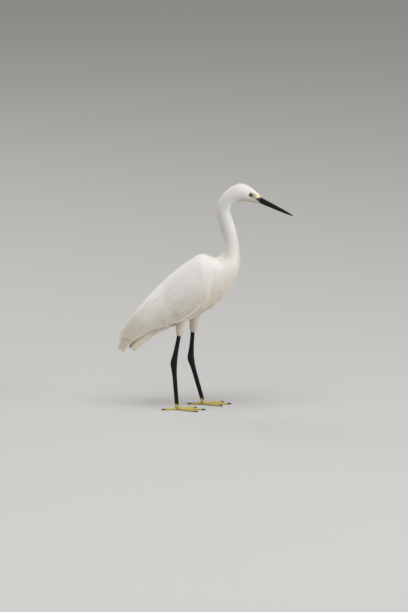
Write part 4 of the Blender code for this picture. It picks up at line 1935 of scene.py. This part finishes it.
@dataclass(frozen=True)
class Eye:
    """An eye and its lids."""

    side: Side
    centre: Triple = (99.3, 8.2, 479.6)
    axis_x: float = 99.5
    radius: float = 5.2
    cornea: float = 0.35
    cornea_from: float = 0.8
    lid_out: float = 3.42
    lid_radii: Pair = (3.98, 3.58)
    lid_thickness: Pair = (0.62, 0.45)
    lid_spread: float = 2.2
    lid_corner: float = 0.09
    lid_folds: int = 17
    lid_fold: float = 0.08
    lid_tilt: Triple = (0.18, 0.08, 0.75)

    def ball(self, finish: Material) -> None:
        """Makes the eyeball, its cornea a little prouder.

        Args:
            finish: The eye's material.
        """
        mesh = bmesh.new()
        sign, turn = self.side.value, Matrix.Rotation(math.pi / 2, 4, "X")
        bmesh.ops.create_uvsphere(
            mesh, u_segments=48, v_segments=32, radius=self.radius, matrix=turn
        )
        for vert in mesh.verts:
            out = max(0.0, vert.co.y * sign / self.radius - self.cornea_from)
            vert.co.y += sign * self.cornea * out / (1 - self.cornea_from)
        centre = Matrix.Translation(Vector(mirrored(np.array(self.centre), self.side)))
        bmesh.ops.transform(mesh, matrix=Matrix.Scale(MM, 4) @ centre, verts=mesh.verts)
        word = self.side.word
        shown(as_object(mesh, f"eyeball_{word}", finish), "eye", f"eye_{word}")

    def lid(self, around: Array, along: Array) -> Array:
        """Points on the ring of the lids, thicker above and drawn out to its corners.

        Args:
            around: Shares of the way round the ring's own thickness.
            along: Shares of the way round the eye.

        Returns:
            The points, in millimetres.
        """
        turn, roll = math.tau * along, math.tau * around
        corner = 1 + self.lid_corner * np.abs(np.cos(turn)) ** 6
        upper, lower = self.lid_thickness
        thick = lower + (upper - lower) * ((1 + np.sin(turn)) / 2)
        thick = thick * (1 + self.lid_fold * np.sin(turn * self.lid_folds + roll))
        spread = np.where(np.cos(roll) > 0, self.lid_spread, 1.0)
        reach = 1 + thick * spread * np.cos(roll) / self.lid_radii[0]
        x = self.centre[0] + np.cos(turn) * self.lid_radii[0] * corner * reach
        z = self.centre[2] + np.sin(turn) * self.lid_radii[1] * reach
        front, top, rim = self.lid_tilt
        tilt = front * np.cos(turn) + top * np.sin(turn) + rim * np.maximum(np.cos(roll), 0) ** 2
        y = self.centre[1] + self.lid_out - tilt + thick * np.sin(roll) * 0.8
        return mirrored(np.stack([x, y, z], -1), self.side)

    def lids(self, finish: Material) -> None:
        """Makes the ring of the lids in the skin's material."""
        shown(as_object(wrapped(14, 72, self.lid), f"lids_{self.side.word}", finish), "leg")


# Legs and feet


@dataclass(frozen=True)
class Scutes:
    """Raised plates on a limb: broad ones across its front and small ones round its back."""

    pitch: float = 2.6
    height: float = 0.34
    front: float = 1.1
    small: float = 1.7
    lean: float = 0.35
    small_share: float = 0.8

    def relief(self, along: Array, around: Array, girth: float) -> Array:
        """How high the plates stand.

        Args:
            along: Millimetres along the limb.
            around: Angles from its front.
            girth: The limb's radius, in millimetres.

        Returns:
            The heights.
        """
        step = (along / self.pitch) % 1
        broad = np.minimum(1, np.minimum(step, 1 - step) * 7) * (1 - self.lean * step)
        columns = max(6, round(math.tau * girth / self.small / 2) * 2)
        row = along / (self.small * 0.9)
        u = (around / math.tau * columns + 0.5 * (np.floor(row) % 2)) % 1 - 0.5
        cell = np.clip(1.05 - 1.9 * np.hypot(u, row % 1 - 0.5), 0, 0.6) / 0.6
        off_front = np.abs(np.angle(np.exp(1j * around)))
        side = eased(off_front, self.front - 0.15, self.front + 0.1)
        return self.height * (broad * (1 - side) + self.small_share * cell * side)


@dataclass(frozen=True)
class Leg:
    """The bare shank and tarsus of one leg."""

    side: Side
    shank_shares: Row = (0.0, 0.3, 0.6, 0.8, 0.92)
    shank_radii: Row = (4.3, 4.5, 5.1, 6.2, 7.1)
    tarsus_shares: Row = (0.0, 0.06, 0.14, 0.3, 0.6, 0.9, 0.98)
    tarsus_radii: Row = (7.5, 7.0, 5.9, 4.9, 4.6, 4.4, 4.5)
    side_share: float = 0.68
    bend_shares: Pair = (0.06, 0.04)
    hidden: float = 3.0
    end_share: float = 0.985
    girth: float = 4.2
    hock_run: float = 7.0
    hock_smooth: float = 0.7
    sunk: float = 0.1
    scutes: Scutes = Scutes()

    def build(self, finish: Material) -> None:
        """Makes shank and tarsus as one skin.

        Args:
            finish: The leg's material.
        """
        _, line, hock, joint = leg_points(self.side)
        upper, lower = np.linalg.norm(hock - line), np.linalg.norm(joint - hock)
        whole, end = upper + lower, upper + lower * self.end_share
        shares = [share * upper for share in self.shank_shares]
        shares += [upper + share * lower for share in self.tarsus_shares]
        over, under = self.bend_shares
        bend = np.array([line, hock + (line - hock) * over, hock + (joint - hock) * under, joint])
        radii = self.shank_radii + self.tarsus_radii
        tube = Tube(bend, tuple(share / whole for share in shares), radii, self.side_share)

        def place(around: Array, share: Array) -> Array:
            """Points on the leg.

            Args:
                around: Shares of the way round it.
                share: Shares of the way down it.

            Returns:
                The points, in millimetres.
            """
            along = -self.hidden + (end + self.hidden) * share * tube.length() / whole
            turn = math.tau * around
            relief = self.scutes.relief(along, turn, self.girth) * eased(along, 0.0, self.hidden)
            smooth = self.hock_smooth * np.exp(-(((along - upper) / self.hock_run) ** 2))
            return tube.place(along, turn, relief * (1 - smooth) - self.sunk)

        word = self.side.word
        leg = as_object(wrapped(48, 420, place), f"leg_{word}", finish)
        shown(leg, "leg", f"shank_{word}", f"tarsus_{word}")


@dataclass(frozen=True)
class Toe:
    """One toe: its turn from straight ahead, outwards, and its length, its claw's and its girth."""

    turn: float
    length: float
    claw: float
    radius: float


TOES = {
    "inner": Toe(-24.0, 40.0, 7.0, 2.6),
    "middle": Toe(3.0, 54.0, 9.0, 2.8),
    "outer": Toe(29.0, 45.0, 7.0, 2.6),
    "hind": Toe(172.0, 28.0, 10.0, 2.5),
}


@dataclass(frozen=True)
class Foot:
    """A foot: four toes that lie flat on the floor, with plates on top and pads below."""

    side: Side
    heights_at: Row = (-0.06, 0.12, 0.34, 0.38, 0.62, 0.66, 0.9, 1.0)
    heights: Row = (3.4, 2.4, 1.9, 2.1, 1.7, 1.9, 1.5, 1.4)
    swells: Row = (1.2, 1.15, 0.95, 1.12, 0.88, 1.05, 0.85, 0.8)
    claw_at: Row = (0.0, 0.35, 0.7, 1.0)
    claw_heights: Row = (1.5, 1.85, 1.4, 0.4)
    claw_shares: Row = (0.72, 0.6, 0.38, 0.06)
    claw_sunk: float = 0.8
    claw_flat: float = 0.7
    off_floor: float = 0.02
    sole: float = 1.5
    plate: float = 2.1
    plate_height: float = 0.28
    end_round: float = 1.2
    end_girth: float = 0.6
    ankle_rise: float = 2.4
    ankle_end: Triple = (1.5, 0.0, -4.0)
    ankle_radii: Triple = (4.5, 4.9, 4.4)
    ankle_scutes: Scutes = Scutes(pitch=2.0, height=0.18)

    def on_toe(self, toe: Toe, far: Array, aside: Array, up: Array) -> Array:
        """Points beside the line on the floor that a toe follows.

        Args:
            toe: The toe.
            far: Distances along that line.
            aside: Distances to the left of it.
            up: Heights over the floor.

        Returns:
            The points, in millimetres.
        """
        joint = leg_points(self.side)[3]
        base = np.array([joint[0] + self.sole, joint[1], 0.0])
        turn = math.radians(toe.turn) * self.side.value
        ahead = np.array([math.cos(turn), math.sin(turn), 0.0])
        across = np.cross(UPWARDS, ahead)
        return base + ahead * far[..., None] + UPWARDS * up[..., None] + across * aside[..., None]

    def toe(self, toe: Toe, around: Array, share: Array) -> Array:
        """Points on a toe.

        Args:
            toe: The toe.
            around: Shares of the way round it.
            share: Shares of the way along it.

        Returns:
            The points, in millimetres.
        """
        station = self.heights_at[0] + (1 - self.heights_at[0]) * share
        far, turn = station * toe.length, math.tau * around
        step = (far / self.plate) % 1
        ridge = np.minimum(1, np.minimum(step, 1 - step) * 6) * np.clip(np.sin(turn) * 2, 0, 1)
        radius = toe.radius * np.interp(station, self.heights_at, self.swells)
        radius = radius + self.plate_height * ridge * eased(station, 0.05, 0.15)
        end = np.sqrt(np.clip((1 - station) * toe.length / self.end_round, 0, 1))
        radius = radius * (self.end_girth + (1 - self.end_girth) * end)
        middle = np.interp(station, self.heights_at, self.heights)
        up = np.maximum(middle + radius * np.sin(turn), 0.0)
        return self.on_toe(toe, far, radius * np.cos(turn), up)

    def claw(self, toe: Toe, around: Array, share: Array) -> Array:
        """Points on a claw.

        Args:
            toe: The toe it ends.
            around: Shares of the way round it.
            share: Shares of the way to its tip.

        Returns:
            The points, in millimetres.
        """
        turn = math.tau * around
        radius = toe.radius * np.interp(share, self.claw_at, self.claw_shares)
        middle = np.interp(share, self.claw_at, self.claw_heights)
        up = np.maximum(middle + radius * np.sin(turn), self.off_floor)
        far = toe.length - self.claw_sunk + (toe.claw + self.claw_sunk) * share
        return self.on_toe(toe, far, radius * self.claw_flat * np.cos(turn), up)

    def ankle(self, around: Array, share: Array) -> Array:
        """Points on the knob that joins the toes to the leg.

        Args:
            around: Shares of the way round it.
            share: Shares of the way down it.

        Returns:
            The points, in millimetres.
        """
        _, _, hock, joint = leg_points(self.side)
        down = (joint - hock) / np.linalg.norm(joint - hock)
        line = np.array([joint - down * self.ankle_rise, joint, joint + np.array(self.ankle_end)])
        tube = Tube(line, (0, 0.4, 1), self.ankle_radii, 0.86)
        along, turn = tube.length() * share, math.tau * around
        return tube.place(along, turn, self.ankle_scutes.relief(along, turn, 4.2))

    def build(self, skin: Material, horn: Material) -> None:
        """Makes the foot and its claws.

        Args:
            skin: The foot's material.
            horn: The claws' material.
        """
        word = self.side.word
        foot = as_object(wrapped(40, 30, self.ankle), f"foot_skin_{word}", skin)
        toes = [wrapped(28, 110, partial(self.toe, toe)) for toe in TOES.values()]
        united(foot, [as_object(toe, "toe", skin) for toe in toes])
        shown(foot, "foot", f"foot_{word}")
        whole = bmesh.new()
        for toe in TOES.values():
            claw = as_object(wrapped(16, 16, partial(self.claw, toe)), "claw", horn)
            whole.from_mesh(claw.data)
            bpy.data.objects.remove(claw)
        claws = as_object(whole, f"claws_{word}", horn)
        shown(claws, "claw", *(f"claw_{word}_{name}" for name in TOES))


# Studio


@dataclass(frozen=True)
class Lamp:
    """A soft light: its place and width in metres, its power in watts and its colour."""

    name: str
    place: Triple
    size: float
    power: float
    colour: Triple

    def hang(self, target: Triple) -> None:
        """Hangs the light.

        Args:
            target: The point it looks at, in metres.
        """
        lamp = bpy.data.lights.new(self.name, "AREA")
        lamp.size, lamp.energy, lamp.color = self.size, self.power, self.colour
        made = linked(self.name, lamp)
        made.location = self.place
        way = Vector(target) - Vector(self.place)
        made.rotation_euler = way.to_track_quat("-Z", "Y").to_euler()


LAMPS = (
    Lamp("key", (-1.3, -1.3, 5.2), 2.8, 145.0, (1.0, 0.98, 0.95)),
    Lamp("sky", (1.4, -1.5, 4.7), 2.6, 66.0, (0.96, 0.98, 1.0)),
    Lamp("side", (4.4, -1.8, 1.7), 2.4, 172.0, (1.0, 0.99, 0.975)),
    Lamp("rim", (-2.6, 2.4, 2.6), 2.0, 45.0, (1.0, 0.985, 0.96)),
    Lamp("fill", (-0.9, -2.5, 1.3), 2.0, 9.0, (1.0, 0.97, 0.92)),
)


@dataclass(frozen=True)
class Studio:
    """A pale floor, soft lights and the camera."""

    lit: Triple = (-0.03, 0.0, 0.28)
    sky: Triple = (1.0, 0.95, 0.87)
    sky_strength: float = 0.36
    floor_reach: float = 30.0
    target: Triple = (-3.63, 0.0, 228.4)
    elevation: float = math.radians(12.0)
    distance: float = 15.0
    frame_height: float = 612 * 2.2 * MM

    def floor(self) -> None:
        """Lays a wide floor."""
        mesh = bmesh.new()
        bmesh.ops.create_grid(mesh, x_segments=1, y_segments=1, size=self.floor_reach)
        as_object(mesh, "floor", FloorFinish().build())

    def lights(self) -> None:
        """Sets the lights and the pale surroundings."""
        for lamp in LAMPS:
            lamp.hang(self.lit)
        world = bpy.data.worlds.new("studio")
        world.use_nodes = True
        sky = world.node_tree.nodes["Background"].inputs
        sky["Color"].default_value = (*self.sky, 1.0)
        sky["Strength"].default_value = self.sky_strength
        bpy.context.scene.world = world
        bpy.context.scene.view_settings.view_transform = "Standard"

    def camera(self) -> None:
        """Sets the camera at the photograph's place."""
        lens = bpy.data.cameras.new("camera")
        lens.sensor_fit = "VERTICAL"
        lens.angle_y = 2 * math.atan(self.frame_height / 2 / self.distance)
        lens.clip_end = 100.0
        made = linked("camera", lens)
        away = Vector((0, -math.cos(self.elevation), math.sin(self.elevation)))
        made.location = Vector(self.target) * MM + away * self.distance
        made.rotation_euler = (math.pi / 2 - self.elevation, 0, 0)
        bpy.context.scene.camera = made


def main() -> None:
    """Builds the bird's pieces and the studio round them."""
    logging.basicConfig(level=logging.INFO, format="%(name)s %(message)s")
    plumage, skin = PlumageFinish().build(), SkinFinish().build()
    horn = HornFinish("black bill").build()
    claws = HornFinish("black claws", roughness=0.4).build()
    black, grey = (0.0025, 0.0025, 0.003), (0.008, 0.0078, 0.0075)
    yellow, ochre = (0.45, 0.37, 0.09), (0.28, 0.26, 0.11)
    legs = ScuteFinish("black leg", black, grey, 0.38, foot=yellow).build()
    feet = ScuteFinish("yellow foot", yellow, ochre, 0.5).build()
    eyes = EyeFinish().build()
    Skin().build(skin)
    Bill().build(horn)
    for side in Side:
        Eye(side).ball(eyes)
        Eye(side).lids(skin)
        Wing(side).build(plumage, skin)
        Leg(side).build(legs)
        Foot(side).build(feet, claws)
    for feathers in (Tail(), BodyPlumage(), BreastPlumes(), ThighPlumage()):
        feathers.build(plumage)
    studio = Studio()
    studio.floor()
    studio.lights()
    studio.camera()


if __name__ == "__main__":
    main()
